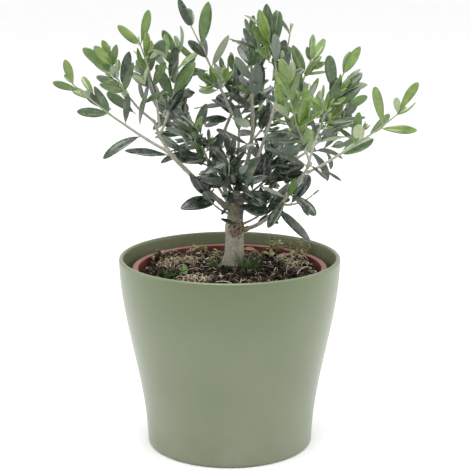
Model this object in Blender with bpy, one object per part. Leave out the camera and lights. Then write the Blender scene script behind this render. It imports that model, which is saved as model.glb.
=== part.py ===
"""A young olive grown as a bonsai, in a plastic nursery pot that stands inside a tapered round planter.

The trunk forks into boughs. Each bough ends in one or more sprays of foliage: a stem, side twigs that
branch from it by a seeded rule, and leaves in opposite pairs. The front of the plant faces -Y.
"""

from math import cos, pi, radians, sin, sqrt
from random import Random

import bmesh
import bpy
from mathutils import Matrix, Vector
from mathutils.bvhtree import BVHTree

MM = 0.001
CLEAR = 0.3 * MM  # the gap between one solid and the next that it touches
UP = Vector((0, 0, 1))
FRONT = Vector((0, -1, 0))

# Planter: a round pot whose side runs from foot to rim in one smooth S
PLANTER_HEIGHT = 126.7 * MM
PLANTER_RIM_RADIUS = 72.6 * MM
PLANTER_FOOT_RADIUS = 55.0 * MM
PLANTER_WALL = 3.0 * MM
PLANTER_FLOOR = 4.0 * MM
PLANTER_FOOT_ROUND = 1.6 * MM
PLANTER_STEPS = 6  # straight runs up each side of the wall
TURNED_STEPS = 40  # flats round a turned piece

# Nursery pot: thin plastic with a broad turned-out lip, standing on the planter's floor
POT_FOOT_Z = PLANTER_FLOOR + CLEAR
POT_RIM_Z = 119.5 * MM
POT_FOOT_RADIUS = 46.0 * MM
POT_TOP_RADIUS = 61.5 * MM
POT_WALL = 1.6 * MM
POT_FLOOR = 2.0 * MM
LIP_RADIUS = 64.2 * MM
LIP_HEIGHT = 8.5 * MM
LIP_ROUND = 1.0 * MM

# Soil: fills the nursery pot and rises to a low flat mound under the trunk
SOIL_EDGE_Z = 113.6 * MM
SOIL_TOP_Z = 117.2 * MM
SOIL_PLATEAU_RADIUS = 16.0 * MM
SOIL_RINGS = 4
SOIL_LUMP = 0.9 * MM
SOIL_SEED = 5

# Trunk: stands a little behind the pot's centre and leans to the right
TRUNK_FOOT = Vector((1.5, 6.0, 117.5)) * MM
TRUNK_TOP = Vector((4.2, 6.5, 167.0)) * MM
TRUNK_BOW = Vector((-0.8, 0.3, 0.0)) * MM
TRUNK_FOOT_RADIUS = 6.5 * MM
TRUNK_TOP_RADIUS = 4.4 * MM
ROOT_FLARE = 1.5 * MM
ROOT_FLARE_REACH = 0.10  # share of the trunk's height that the flare takes
KNOT_SWELL = 0.9 * MM
KNOT_PLACE = 0.53
KNOT_REACH = 0.09
TRUNK_SIDES = 14
TRUNK_RINGS = 16

BOUGH_SIDES = 8
BOUGH_RINGS = 7
STEM_SIDES = 3
STEM_RINGS = 5
TWIG_RINGS = 2
TIP_GIRTH = 0.8 * MM  # of a stem or twig
BOW_AT_FOOT = 4  # how steeply a limb leaves its foot, for a bow of one in its middle

# Each bough: what it grows from and how far along that, its tip, its bow and its two girths, in mm
BOUGHS = {
    "left_bough": dict(on="trunk", at=0.82,
                       tip=(-39, -14, 198), bow=(0, 0, -1), girth=(3.9, 2.9)),
    "upper_left_bough": dict(on="left_bough", at=0.9,
                             tip=(-48, -3, 215), bow=(-1, 1, -1), girth=(2.4, 1.9)),
    "top_left_bough": dict(on="trunk", at=0.93,
                           tip=(1, 17, 217), bow=(-6, 2, 0), girth=(3.0, 2.2)),
    "leader_bough": dict(on="trunk", at=1.0,
                         tip=(15, 14, 216), bow=(3, 0, 0), girth=(3.8, 2.6)),
    "up_right_bough": dict(on="trunk", at=0.9,
                           tip=(29, -14, 227), bow=(0, -2, -1), girth=(3.1, 2.0)),
    "rear_right_bough": dict(on="trunk", at=0.8,
                             tip=(47, 26, 194), bow=(1, -1, -4), girth=(2.9, 2.1)),
    "low_right_bough": dict(on="trunk", at=0.53,
                            tip=(36, -22, 170), bow=(1, 0, -4), girth=(3.1, 2.4)),
    "right_fork_bough": dict(on="low_right_bough", at=1.0,
                             tip=(50, -34, 193), bow=(0, 0, 0), girth=(2.2, 1.9)),
    "inner_left_bough": dict(on="trunk", at=0.86,
                             tip=(-16, 24, 189), bow=(-1, 1, -2), girth=(2.4, 1.8)),
    "rear_bough": dict(on="trunk", at=0.72,
                       tip=(6, 38, 196), bow=(0, 2, -4), girth=(2.8, 2.1)),
}

# Foliage. A spray's lowest leaf pair opens by the spray's own angle, and its tip pair by this one
OPEN_TIP = 28.0
OPEN_SPREAD = 13.0
TURN_SPREAD = 16.0
ROLL_SPREAD = 34.0
FLIPPED_SHARE = 0.2  # leaves that show their underside
FACE_LIFT = 28.0  # how far above level the leaves face
TWIG_OPEN = 42.0
TWIG_SPREAD = 12.0
TWIG_LIFT = 0.45
TWIG_GIRTH = 1.2 * MM
TWIGS_FROM = 0.12  # share of the stem below the first side twig
TWIGS_SPAN = 0.62  # and the share that they are spaced over
TWIG_STAGGER = (0.2, 0.6)
TWIG_TURN = 30.0
TWIG_SIZES = (0.75, 1.1)  # least and most, for a reach of one
TWIG_BOW = 0.08
TWIG_SUNK = 0.3  # how far a twig starts inside its stem, for a stem radius of one
TWIG_BARE = 0.4
TWIG_LEAF = 0.9  # leaf length on a side twig, for one on the stem
LONG_TWIG = 19.0 * MM  # a twig over this has three pairs of leaves, and a shorter one two
LAST_PAIR = 0.985  # share of the way along a stem at which its tip pair sits
SPRAY_ROOM = 37.0 * MM  # how far from its stem a spray may reach
LEAF_OUTLINE = ((0.30, 0.95), (0.76, 0.84))  # share of the length, and of half the width
LEAF_SIZES = (0.8, 1.12)  # least and most, for a length of one
TIP_SHRINK = 0.25  # how much shorter the tip leaves are
LEAF_SUNK = 0.4  # how far past its stem's middle a leaf starts, for a stem radius of one
LEAF_SLIM = 0.31  # width for a length of one
LEAF_THICK = 0.9 * MM
LEAF_CREST = 0.48  # where along it a leaf is thickest
LEAF_BEND = 0.10
LEAF_ROOM = 0.5 * MM  # what a leaf or twig keeps clear of its neighbours, besides CLEAR

# Each spray: what its stem grows from and how far along that, its tip and bow in mm, its girth at the
# foot, the leaf pairs on the stem and where they start, the side twigs and their length, leaf length
# in mm, the turn of its first pair, how far its leaves open, where they face (0 is the front), how much
# they hang, and a seed
USUAL = dict(bow=(0, 0, 0), girth=1.8, pairs=5, bare=0.2, twigs=2, reach=22, leaf=25, turn=0, open=60,
             face=0, droop=0)
SPRAYS = {
    "far_left_spray": dict(
        USUAL, on="left_bough", at=1.0, tip=(-97, -28, 243), bow=(-1, 0, -2), girth=2.2, turn=15,
        open=52, face=-15, seed=31),
    "left_spray": dict(
        USUAL, on="upper_left_bough", at=1.0, tip=(-72, -28, 254), bow=(-3, 0, -2), reach=20,
        leaf=23, face=-25, seed=16),
    "left_tall_spray": dict(
        USUAL, on="upper_left_bough", at=0.88, tip=(-57, 4, 264), bow=(2, 0, 0), bare=0.3, twigs=1,
        leaf=24, turn=75, open=50, face=-5, seed=5),
    "left_inner_spray": dict(
        USUAL, on="upper_left_bough", at=0.72, tip=(-33, 20, 257), bow=(2, 0, -2), bare=0.25,
        leaf=24, turn=120, face=10, seed=39),
    "top_left_spray": dict(
        USUAL, on="top_left_bough", at=1.0, tip=(-25, 26, 274), bow=(1, 0, -1), girth=2.0, pairs=6,
        bare=0.1, twigs=1, turn=165, face=-10, seed=25),
    "leader_spray": dict(
        USUAL, on="leader_bough", at=1.0, tip=(13.5, 12, 266), girth=2.4, pairs=6, bare=0.12,
        reach=18, leaf=24, turn=15, seed=26),
    "crown_spray": dict(
        USUAL, on="up_right_bough", at=1.0, tip=(22, -12, 273), bow=(4, 0, 0), bare=0.15, reach=18,
        leaf=28, turn=105, open=42, face=5, seed=8),
    "crown_right_spray": dict(
        USUAL, on="up_right_bough", at=0.9, tip=(38, -6, 272), bow=(1, 0, 0), girth=1.6, bare=0.3,
        twigs=0, leaf=23, turn=165, open=46, face=20, seed=5),
    "right_top_spray": dict(
        USUAL, on="rear_right_bough", at=1.0, tip=(54, 38, 251), bow=(-5, 0, 0), bare=0.15, turn=60,
        open=48, face=15, seed=25),
    "right_rear_spray": dict(
        USUAL, on="rear_right_bough", at=0.88, tip=(78, 44, 218), bow=(2, 4, -3), turn=30, face=120,
        seed=1),
    "front_right_spray": dict(
        USUAL, on="right_fork_bough", at=1.0, tip=(35, -60, 243), bow=(-1, -4, 0), pairs=6, twigs=1,
        leaf=28, turn=120, open=40, face=5, seed=32),
    "right_upper_spray": dict(
        USUAL, on="right_fork_bough", at=0.9, tip=(72, -8, 247), bow=(-1, 4, 0), pairs=4, bare=0.3,
        twigs=3, leaf=26, turn=15, open=44, face=15, seed=38),
    "far_right_spray": dict(
        USUAL, on="right_fork_bough", at=0.8, tip=(103, -42, 226), bow=(0, 0, -2), bare=0.36,
        twigs=0, leaf=27, turn=90, face=10, seed=31),
    "low_right_spray": dict(
        USUAL, on="low_right_bough", at=0.9, tip=(52, -26, 172), bow=(0, 0, -2), girth=1.4, pairs=3,
        twigs=0, leaf=24, turn=165, face=10, droop=0.4, seed=1),
    "knot_spray": dict(
        USUAL, on="trunk", at=0.6, tip=(27, -6, 163), bow=(2, 0, -1), girth=1.6, pairs=4, bare=0.4,
        twigs=0, leaf=24, turn=90, face=5, droop=0.2, seed=2),
    "low_left_spray": dict(
        USUAL, on="trunk", at=0.74, tip=(-16, -12, 170), bow=(0, 0, -2), girth=1.6, pairs=3,
        bare=0.5, twigs=0, leaf=26, turn=45, face=-10, droop=0.4, seed=15),
    "mid_left_spray": dict(
        USUAL, on="trunk", at=0.95, tip=(-24, -6, 208), bow=(1, 0, 0), bare=0.15, twigs=3, leaf=24,
        turn=165, face=-10, seed=30),
    "inner_left_spray": dict(
        USUAL, on="inner_left_bough", at=1.0, tip=(-35, 44, 222), bow=(0, 2, -2), girth=1.6,
        bare=0.12, turn=60, face=-150, seed=14),
    "inner_front_spray": dict(
        USUAL, on="trunk", at=0.86, tip=(0, -34, 199), bow=(-1, -2, -3), pairs=6, twigs=4, reach=18,
        leaf=24, open=70, droop=0.1, seed=14),
    "inner_right_spray": dict(
        USUAL, on="trunk", at=0.96, tip=(38, -2, 196), bow=(0, 0, -3), reach=20, leaf=24, turn=150,
        face=10, seed=40),
    "rear_spray": dict(
        USUAL, on="rear_bough", at=1.0, tip=(2, 56, 242), bow=(2, 4, 0), bare=0.12, turn=75,
        face=180, seed=19),
    "rear_right_spray": dict(
        USUAL, on="rear_bough", at=0.9, tip=(36, 66, 222), bow=(1, 2, -3), bare=0.25, twigs=3,
        turn=135, face=150, seed=19),
    "rear_left_spray": dict(
        USUAL, on="rear_bough", at=0.78, tip=(-36, 66, 214), bow=(-2, 3, -4), bare=0.3, turn=90,
        face=-160, seed=36),
}

COLOURS = {
    "planter": ((0.26, 0.31, 0.19, 1), 0.45),
    "nursery_pot": ((0.36, 0.12, 0.07, 1), 0.5),
    "soil": ((0.03, 0.02, 0.014, 1), 0.95),
    "bark": ((0.34, 0.29, 0.22, 1), 0.85),
    "foliage": ((0.10, 0.17, 0.07, 1), 0.55),
}


def material(name):
    made = bpy.data.materials.get(name) or bpy.data.materials.new(name)
    made.use_nodes = True
    colour, roughness = COLOURS[name]
    shader = made.node_tree.nodes["Principled BSDF"]
    shader.inputs["Base Color"].default_value = colour
    shader.inputs["Roughness"].default_value = roughness
    return made


def solid(name, points, faces, finish):
    """One named object from points and faces, all facing out."""
    mesh = bpy.data.meshes.new(name)
    mesh.from_pydata([tuple(p) for p in points], [], faces)
    shape = bmesh.new()
    shape.from_mesh(mesh)
    bmesh.ops.recalc_face_normals(shape, faces=shape.faces)
    shape.to_mesh(mesh)
    shape.free()
    mesh.materials.append(material(finish))
    made = bpy.data.objects.new(name, mesh)
    bpy.context.scene.collection.objects.link(made)
    return made


def turned(name, outline, finish):
    """An outline of (radius, height) points, both ends on the axis, spun round the upright axis."""
    shape = bmesh.new()
    corners = [shape.verts.new((radius, 0, height)) for radius, height in outline]
    edges = [shape.edges.new(pair) for pair in zip(corners, corners[1:])]
    bmesh.ops.spin(shape, geom=corners + edges, cent=(0, 0, 0), axis=UP, angle=2 * pi,
                   steps=TURNED_STEPS, use_merge=True)
    bmesh.ops.remove_doubles(shape, verts=shape.verts, dist=0.01 * MM)
    bmesh.ops.recalc_face_normals(shape, faces=shape.faces)
    mesh = bpy.data.meshes.new(name)
    shape.to_mesh(mesh)
    shape.free()
    mesh.materials.append(material(finish))
    mesh.shade_smooth()
    mesh.set_sharp_from_angle(angle=radians(35))
    made = bpy.data.objects.new(name, mesh)
    bpy.context.scene.collection.objects.link(made)
    return made


def planter_radius(height):
    share = min(max(height / PLANTER_HEIGHT, 0), 1)
    swell = share * share * (3 - 2 * share)
    return PLANTER_FOOT_RADIUS + (PLANTER_RIM_RADIUS - PLANTER_FOOT_RADIUS) * swell


def make_planter():
    foot, rim = PLANTER_FOOT_ROUND, PLANTER_WALL / 2
    shoulder = PLANTER_HEIGHT - rim
    rises = [foot + (shoulder - foot) * i / PLANTER_STEPS for i in range(PLANTER_STEPS + 1)]
    outside = [(planter_radius(z), z) for z in rises]
    centre = planter_radius(shoulder) - rim
    bead = [(centre + rim * cos(a), shoulder + rim * sin(a)) for a in (pi / 4, pi / 2, 3 * pi / 4)]
    inside = [(planter_radius(z) - PLANTER_WALL, z) for z in reversed(rises[1:])]
    floor = [(planter_radius(PLANTER_FLOOR) - PLANTER_WALL, PLANTER_FLOOR), (0, PLANTER_FLOOR)]
    outline = [(0, 0), (PLANTER_FOOT_RADIUS - foot, 0), *outside, *bead, *inside, *floor]
    turned("planter", outline, "planter")


def pot_inside(height):
    """The nursery pot's inner radius at a height."""
    share = (height - POT_FOOT_Z) / (POT_RIM_Z - POT_FOOT_Z)
    return POT_FOOT_RADIUS + (POT_TOP_RADIUS - POT_FOOT_RADIUS) * share - POT_WALL


def make_nursery_pot():
    under_lip = POT_RIM_Z - LIP_HEIGHT
    inner_top = pot_inside(POT_RIM_Z)
    turned("nursery_pot", [
        (0, POT_FOOT_Z),
        (POT_FOOT_RADIUS, POT_FOOT_Z),
        (pot_inside(under_lip) + POT_WALL, under_lip),
        (LIP_RADIUS, under_lip),
        (LIP_RADIUS, POT_RIM_Z - LIP_ROUND),
        (LIP_RADIUS - LIP_ROUND, POT_RIM_Z),
        (inner_top + LIP_ROUND, POT_RIM_Z),
        (inner_top, POT_RIM_Z - LIP_ROUND),
        (pot_inside(POT_FOOT_Z + POT_FLOOR), POT_FOOT_Z + POT_FLOOR),
        (0, POT_FOOT_Z + POT_FLOOR),
    ], "nursery_pot")


def make_soil():
    foot = POT_FOOT_Z + POT_FLOOR + CLEAR
    edge = pot_inside(SOIL_EDGE_Z) - CLEAR
    rings = []
    for i in range(SOIL_RINGS + 1):
        share = i / SOIL_RINGS
        rings.append((edge + (SOIL_PLATEAU_RADIUS - edge) * share,
                      SOIL_EDGE_Z + (SOIL_TOP_Z - SOIL_EDGE_Z) * sin(share * pi / 2)))
    made = turned("soil", [(0, foot), (pot_inside(foot) - CLEAR, foot), *rings, (0, SOIL_TOP_Z)], "soil")
    rng = Random(SOIL_SEED)
    for point in made.data.vertices:
        out = sqrt(point.co.x ** 2 + point.co.y ** 2)
        if point.co.z > foot + CLEAR and SOIL_PLATEAU_RADIUS + CLEAR < out < edge - CLEAR:
            point.co.z += rng.uniform(-SOIL_LUMP, SOIL_LUMP)


def frames(path):
    """A tangent and two side directions at each point of a path, carried along it without twisting."""
    runs = [(b - a).normalized() for a, b in zip(path, path[1:])]
    tangents = [runs[0], *[(a + b).normalized() for a, b in zip(runs, runs[1:])], runs[-1]]
    side = tangents[0].orthogonal().normalized()
    made = []
    for tangent in tangents:
        side = (side - tangent * side.dot(tangent)).normalized()
        made.append((tangent, side, tangent.cross(side)))
    return made


def tube(path, girths, sides):
    """Points and faces of a closed tube along a path, with a radius for each of its points."""
    points, faces = [], []
    for centre, radius, (_, side, other) in zip(path, girths, frames(path)):
        for k in range(sides):
            angle = 2 * pi * k / sides
            points.append(centre + (side * cos(angle) + other * sin(angle)) * radius)
    for ring in range(len(path) - 1):
        for k in range(sides):
            a, b = ring * sides + k, ring * sides + (k + 1) % sides
            faces.append((a, b, b + sides, a + sides))
    faces.append(tuple(range(sides - 1, -1, -1)))
    faces.append(tuple(range(len(points) - sides, len(points))))
    return points, faces


def bowed(start, end, bow, steps):
    """A path from start to end whose middle is pushed aside by bow."""
    shares = [i / steps for i in range(steps + 1)]
    return [start.lerp(end, t) + bow * (BOW_AT_FOOT * t * (1 - t)) for t in shares]


def tapered(foot, tip, steps):
    """The radius at each step along a limb, from its two girths."""
    return [(foot + (tip - foot) * i / steps) / 2 for i in range(steps + 1)]


class Limb:
    """A trunk, bough, stem or twig: a path and the radius at each of its points."""

    def __init__(self, path, radii):
        self.path, self.radii = path, radii

    def at(self, share):
        """The point, direction and radius a share of the way along."""
        place = min(max(share, 0), 1) * (len(self.path) - 1)
        i = min(int(place), len(self.path) - 2)
        a, b = self.path[i], self.path[i + 1]
        radius = self.radii[i] + (self.radii[i + 1] - self.radii[i]) * (place - i)
        return a.lerp(b, place - i), (b - a).normalized(), radius

    def shape(self, sides, more=0.0):
        """Its points and faces, thicker all round by more."""
        return tube(self.path, [radius + more for radius in self.radii], sides)


def seat(limb, share, toward, radius):
    """Where a limb of this radius starts, just clear of its carrier, when it heads for a point."""
    point, along, girth = limb.at(share)
    heading = (toward - point).normalized()
    lean = abs(heading.dot(along))
    if share >= 1:
        return point + along * (CLEAR + radius * sqrt(1 - lean * lean))
    aside = (heading - along * heading.dot(along)).normalized()
    return point + aside * (girth + CLEAR + radius * lean)


def limb_on(limbs, plan, foot, tip, steps):
    """A bough or stem on the limb that carries it, from its plan and its two girths."""
    end, bow = Vector(plan["tip"]) * MM, Vector(plan["bow"]) * MM
    start = seat(limbs[plan["on"]], plan["at"], end + bow * BOW_AT_FOOT, foot / 2)
    return Limb(bowed(start, end, bow, steps), tapered(foot, tip, steps))


def trunk_radius(share):
    flare = max(0, 1 - share / ROOT_FLARE_REACH) ** 2
    knot = max(0, 1 - ((share - KNOT_PLACE) / KNOT_REACH) ** 2)
    return (TRUNK_FOOT_RADIUS + (TRUNK_TOP_RADIUS - TRUNK_FOOT_RADIUS) * share
            + ROOT_FLARE * flare + KNOT_SWELL * knot)


def make_trunk():
    """The trunk, its foot cut flat where it meets the soil."""
    path = bowed(TRUNK_FOOT, TRUNK_TOP, TRUNK_BOW, TRUNK_RINGS)
    trunk = Limb(path, [trunk_radius(i / TRUNK_RINGS) for i in range(TRUNK_RINGS + 1)])
    points, faces = trunk.shape(TRUNK_SIDES)
    for point in points[:TRUNK_SIDES]:
        point.z = TRUNK_FOOT.z
    solid("trunk", points, faces, "bark")
    return trunk


def make_boughs(limbs):
    for name, plan in BOUGHS.items():
        foot, tip = (girth * MM for girth in plan["girth"])
        limbs[name] = limb_on(limbs, plan, foot, tip, BOUGH_RINGS)
        solid(name, *limbs[name].shape(BOUGH_SIDES), "bark")


def across(tangent, turn):
    """A direction square to a stem. Turn 0 lies across the front view, and 90 points away from it."""
    flat = tangent.cross(FRONT)
    if flat.length < 0.2:
        flat = tangent.cross(UP)
    return Matrix.Rotation(radians(turn), 3, tangent) @ flat.normalized()


def facing(azimuth):
    """The direction that most of a spray's leaves face. Azimuth 0 is the front, 90 the right."""
    around, lift = radians(azimuth), radians(FACE_LIFT)
    return Vector((sin(around) * cos(lift), -cos(around) * cos(lift), sin(lift)))


def leaf_plans(stem, pairs, bare, length, turn, plan, rng):
    """Root, direction, upper side and length of each leaf: pairs, each a quarter turn from the last."""
    leaves = []
    look = facing(plan["face"])
    for k in range(pairs):
        share = bare + (1 - bare) * k / max(pairs - 1, 1)
        point, along, radius = stem.at(min(share, LAST_PAIR))
        turned_by = turn + 90 * k + rng.uniform(-TURN_SPREAD, TURN_SPREAD)
        opened = plan["open"] + (OPEN_TIP - plan["open"]) * share
        for sign in (1, -1):
            aside = across(along, turned_by) * sign
            angle = radians(opened + rng.uniform(-OPEN_SPREAD, OPEN_SPREAD))
            heading = (along * cos(angle) + aside * sin(angle) - UP * plan["droop"]).normalized()
            size = length * MM * (1 - TIP_SHRINK * share * share) * rng.uniform(*LEAF_SIZES)
            roll = Matrix.Rotation(radians(rng.gauss(0, ROLL_SPREAD)), 3, heading)
            flip = -1 if rng.random() < FLIPPED_SHARE else 1
            upper = look - heading * look.dot(heading)
            if upper.length < 0.25:
                upper = along - heading * along.dot(heading)
            upper = roll @ upper.normalized() * flip
            leaves.append((point - aside * radius * LEAF_SUNK, heading, upper, size))
    return leaves


def blade(root, heading, upper, size, more=0.0):
    """Points and faces of a leaf: an oval, flat below, crested above and bent a little back."""
    lateral = heading.cross(upper)
    half = size * LEAF_SLIM / 2 + more

    def place(share, aside, rise=0.0):
        back = upper * (-LEAF_BEND * size * share * share)
        return root + heading * (size * share) + lateral * (half * aside) + back + upper * rise

    right = [place(share, width) for share, width in LEAF_OUTLINE]
    left = [place(share, -width) for share, width in reversed(LEAF_OUTLINE)]
    outline = [root - heading * more, *right, place(1, 0) + heading * more, *left]
    outline = [point - upper * more for point in outline]
    count = len(outline)
    crest = place(LEAF_CREST, 0, LEAF_THICK + more)
    faces = [(k, (k + 1) % count, count) for k in range(count)]
    return [*outline, crest], [*faces, tuple(range(count - 1, -1, -1))]


def twig_plans(stem, plan):
    """The side twigs of a spray, each with its leaves, opened from their places on the stem and lifted."""
    twigs = []
    for i in range(plan["twigs"]):
        rng = Random(plan["seed"] * 100 + i)
        share = TWIGS_FROM + TWIGS_SPAN * (i + rng.uniform(*TWIG_STAGGER)) / plan["twigs"]
        point, along, radius = stem.at(share)
        turned_by = plan["turn"] + 90 * i + 180 * (i // 2) + rng.uniform(-TWIG_TURN, TWIG_TURN)
        angle = radians(TWIG_OPEN + rng.uniform(-TWIG_SPREAD, TWIG_SPREAD))
        heading = along * cos(angle) + across(along, turned_by) * sin(angle)
        heading = (heading + UP * TWIG_LIFT * rng.random()).normalized()
        reach = plan["reach"] * MM * rng.uniform(*TWIG_SIZES)
        start = point - heading * radius * TWIG_SUNK
        path = bowed(start, point + heading * reach, along * reach * -TWIG_BOW, TWIG_RINGS)
        twig = Limb(path, tapered(TWIG_GIRTH, TIP_GIRTH, TWIG_RINGS))
        pairs = 3 if reach > LONG_TWIG else 2
        turn = rng.uniform(0, 180)
        leaves = leaf_plans(twig, pairs, TWIG_BARE, plan["leaf"] * TWIG_LEAF, turn, plan, rng)
        twigs.append((twig, leaves))
    return twigs


def stem_leaves(stem, plan):
    rng = Random(plan["seed"])
    return leaf_plans(stem, plan["pairs"], plan["bare"], plan["leaf"], plan["turn"], plan, rng)


def make_stems(limbs):
    """The stem of every spray, which all exist before the first leaf so that leaves keep clear of them."""
    return {name: limb_on(limbs, plan, plan["girth"] * MM, TIP_GIRTH, STEM_RINGS)
            for name, plan in SPRAYS.items()}


def tree_of(shape):
    return BVHTree.FromPolygons(*shape)


def object_tree(made):
    return tree_of(([v.co for v in made.data.vertices], [p.vertices[:] for p in made.data.polygons]))


def fits(stem, swollen, furthest, others):
    """True if a twig or leaf stays in its spray's own space and touches nothing outside its spray."""
    if min((furthest - point).length for point in stem.path) > SPRAY_ROOM:
        return False
    tree = tree_of(swollen)
    return not any(tree.overlap(other) for other in others)


def grow(stem, plan, others):
    """The shapes of a spray's twigs and leaves, less those that would leave its space or touch a limb."""
    pieces, leaves = [], []
    more = LEAF_ROOM + CLEAR
    for twig, on_twig in twig_plans(stem, plan):
        if fits(stem, twig.shape(STEM_SIDES, more), twig.path[-1], others):
            pieces.append(twig.shape(STEM_SIDES))
            leaves += on_twig
    for root, heading, upper, size in leaves + stem_leaves(stem, plan):
        if fits(stem, blade(root, heading, upper, size, more), root + heading * size, others):
            pieces.append(blade(root, heading, upper, size))
    return pieces


def keep_largest_island(mesh):
    """Drops the loose scraps and sealed hollows that a union can leave."""
    shape = bmesh.new()
    shape.from_mesh(mesh)
    left, islands = set(shape.verts), []
    while left:
        island, front = set(), [left.pop()]
        while front:
            point = front.pop()
            island.add(point)
            for other in (edge.other_vert(point) for edge in point.link_edges):
                if other in left:
                    left.remove(other)
                    front.append(other)
        islands.append(island)
    body = max(islands, key=len)
    scraps = [point for point in shape.verts if point not in body]
    bmesh.ops.delete(shape, geom=scraps, context="VERTS")
    shape.to_mesh(mesh)
    shape.free()


def fuse(name, stem, pieces):
    """One closed solid from a stem and the twigs and leaves whose roots are sunk in it."""
    body = solid(name, *stem, "foliage")
    helpers = bpy.data.collections.new(name + "_pieces")
    bpy.context.scene.collection.children.link(helpers)
    for points, faces in pieces:
        piece = solid(name + "_piece", points, faces, "foliage")
        bpy.context.scene.collection.objects.unlink(piece)
        helpers.objects.link(piece)
    union = body.modifiers.new("union", "BOOLEAN")
    union.operation = "UNION"
    union.operand_type = "COLLECTION"
    union.collection = helpers
    union.solver = "MANIFOLD"
    graph = bpy.context.evaluated_depsgraph_get()
    joined = bpy.data.meshes.new_from_object(body.evaluated_get(graph))
    keep_largest_island(joined)
    body.modifiers.clear()
    body.data = joined
    joined.name = name
    for piece in list(helpers.objects):
        bpy.data.objects.remove(piece)
    bpy.data.collections.remove(helpers)


def make_foliage(limbs):
    """One node for each spray, grown in turn so that each keeps clear of the limbs and earlier sprays."""
    solids = [object_tree(made) for made in bpy.context.scene.objects]
    stems = make_stems(limbs)
    grown = {name: [tree_of(stem.shape(STEM_SIDES))] for name, stem in stems.items()}
    for name, plan in SPRAYS.items():
        others = solids + [tree for other, trees in grown.items() if other != name for tree in trees]
        pieces = grow(stems[name], plan, others)
        fuse(name, stems[name].shape(STEM_SIDES), pieces)
        grown[name] += [tree_of(piece) for piece in pieces]


def main():
    for made in list(bpy.data.objects):
        bpy.data.objects.remove(made)
    make_planter()
    make_nursery_pot()
    make_soil()
    limbs = {"trunk": make_trunk()}
    make_boughs(limbs)
    make_foliage(limbs)


main()
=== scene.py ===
# A young olive grown as a bonsai, in a terracotta-coloured nursery pot inside a sage green planter.
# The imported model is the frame. Everything made here grows on it, in metres, and the plant's front faces -Y.
from math import cos, exp, hypot, pi, radians, sin, sqrt, tau
from random import Random

import bmesh
import bpy
from mathutils import Matrix, Vector, noise
from mathutils.bvhtree import BVHTree
from mathutils.kdtree import KDTree


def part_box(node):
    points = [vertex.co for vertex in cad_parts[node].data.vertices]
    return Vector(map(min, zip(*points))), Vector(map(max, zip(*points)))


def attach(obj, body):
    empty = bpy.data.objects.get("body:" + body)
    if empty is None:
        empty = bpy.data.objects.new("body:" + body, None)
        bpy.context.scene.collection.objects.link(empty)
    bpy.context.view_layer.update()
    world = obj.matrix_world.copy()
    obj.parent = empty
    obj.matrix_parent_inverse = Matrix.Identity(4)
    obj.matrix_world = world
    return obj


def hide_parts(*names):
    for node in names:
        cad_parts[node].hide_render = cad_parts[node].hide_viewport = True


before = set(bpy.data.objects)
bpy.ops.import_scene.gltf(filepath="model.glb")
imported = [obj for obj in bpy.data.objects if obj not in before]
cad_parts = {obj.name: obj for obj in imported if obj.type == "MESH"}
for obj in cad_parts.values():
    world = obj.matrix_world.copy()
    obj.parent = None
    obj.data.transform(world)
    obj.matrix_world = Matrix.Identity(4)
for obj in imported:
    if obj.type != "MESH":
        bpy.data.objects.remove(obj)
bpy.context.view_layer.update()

mm = 0.001
up = Vector((0, 0, 1))
front = Vector((0, -1, 0))
seeds = dict(wound=10, crumbs=11, straws=12, litter=13, weeds=14, singleLeaves=77, stray=5, sprays=9000)


# Shader nodes. A colour of three numbers is one from a paint chart, 0 to 255

def tone(colour, share=1):  # a paint chart's colour in linear light, lighter with a share above 1
    parts = [part / 255 for part in colour]
    linear = [p / 12.92 if p <= 0.04045 else ((p + 0.055) / 1.055) ** 2.4 for p in parts]
    return (*[min(part * share, 1) for part in linear], 1)


def plug(tree, socket, value):
    if isinstance(value, Wire):
        tree.links.new(value.socket, socket)
    elif socket.type == "RGBA" and len(value) == 3:
        socket.default_value = tone(value)
    else:
        socket.default_value = value


class Wire:  # a node's output, so that 1 - mask or height * 0.4 adds its own Math node

    def __init__(self, tree, socket):
        self.tree = tree
        self.socket = socket

    def work(self, operation, first, second):
        made = self.tree.nodes.new("ShaderNodeMath")
        made.operation = operation
        plug(self.tree, made.inputs[0], first)
        plug(self.tree, made.inputs[1], second)
        return Wire(self.tree, made.outputs[0])

    def __add__(self, other):
        return self.work("ADD", self, other)

    def __radd__(self, other):
        return self.work("ADD", other, self)

    def __sub__(self, other):
        return self.work("SUBTRACT", self, other)

    def __rsub__(self, other):
        return self.work("SUBTRACT", other, self)

    def __mul__(self, other):
        return self.work("MULTIPLY", self, other)

    def __rmul__(self, other):
        return self.work("MULTIPLY", other, self)


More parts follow.
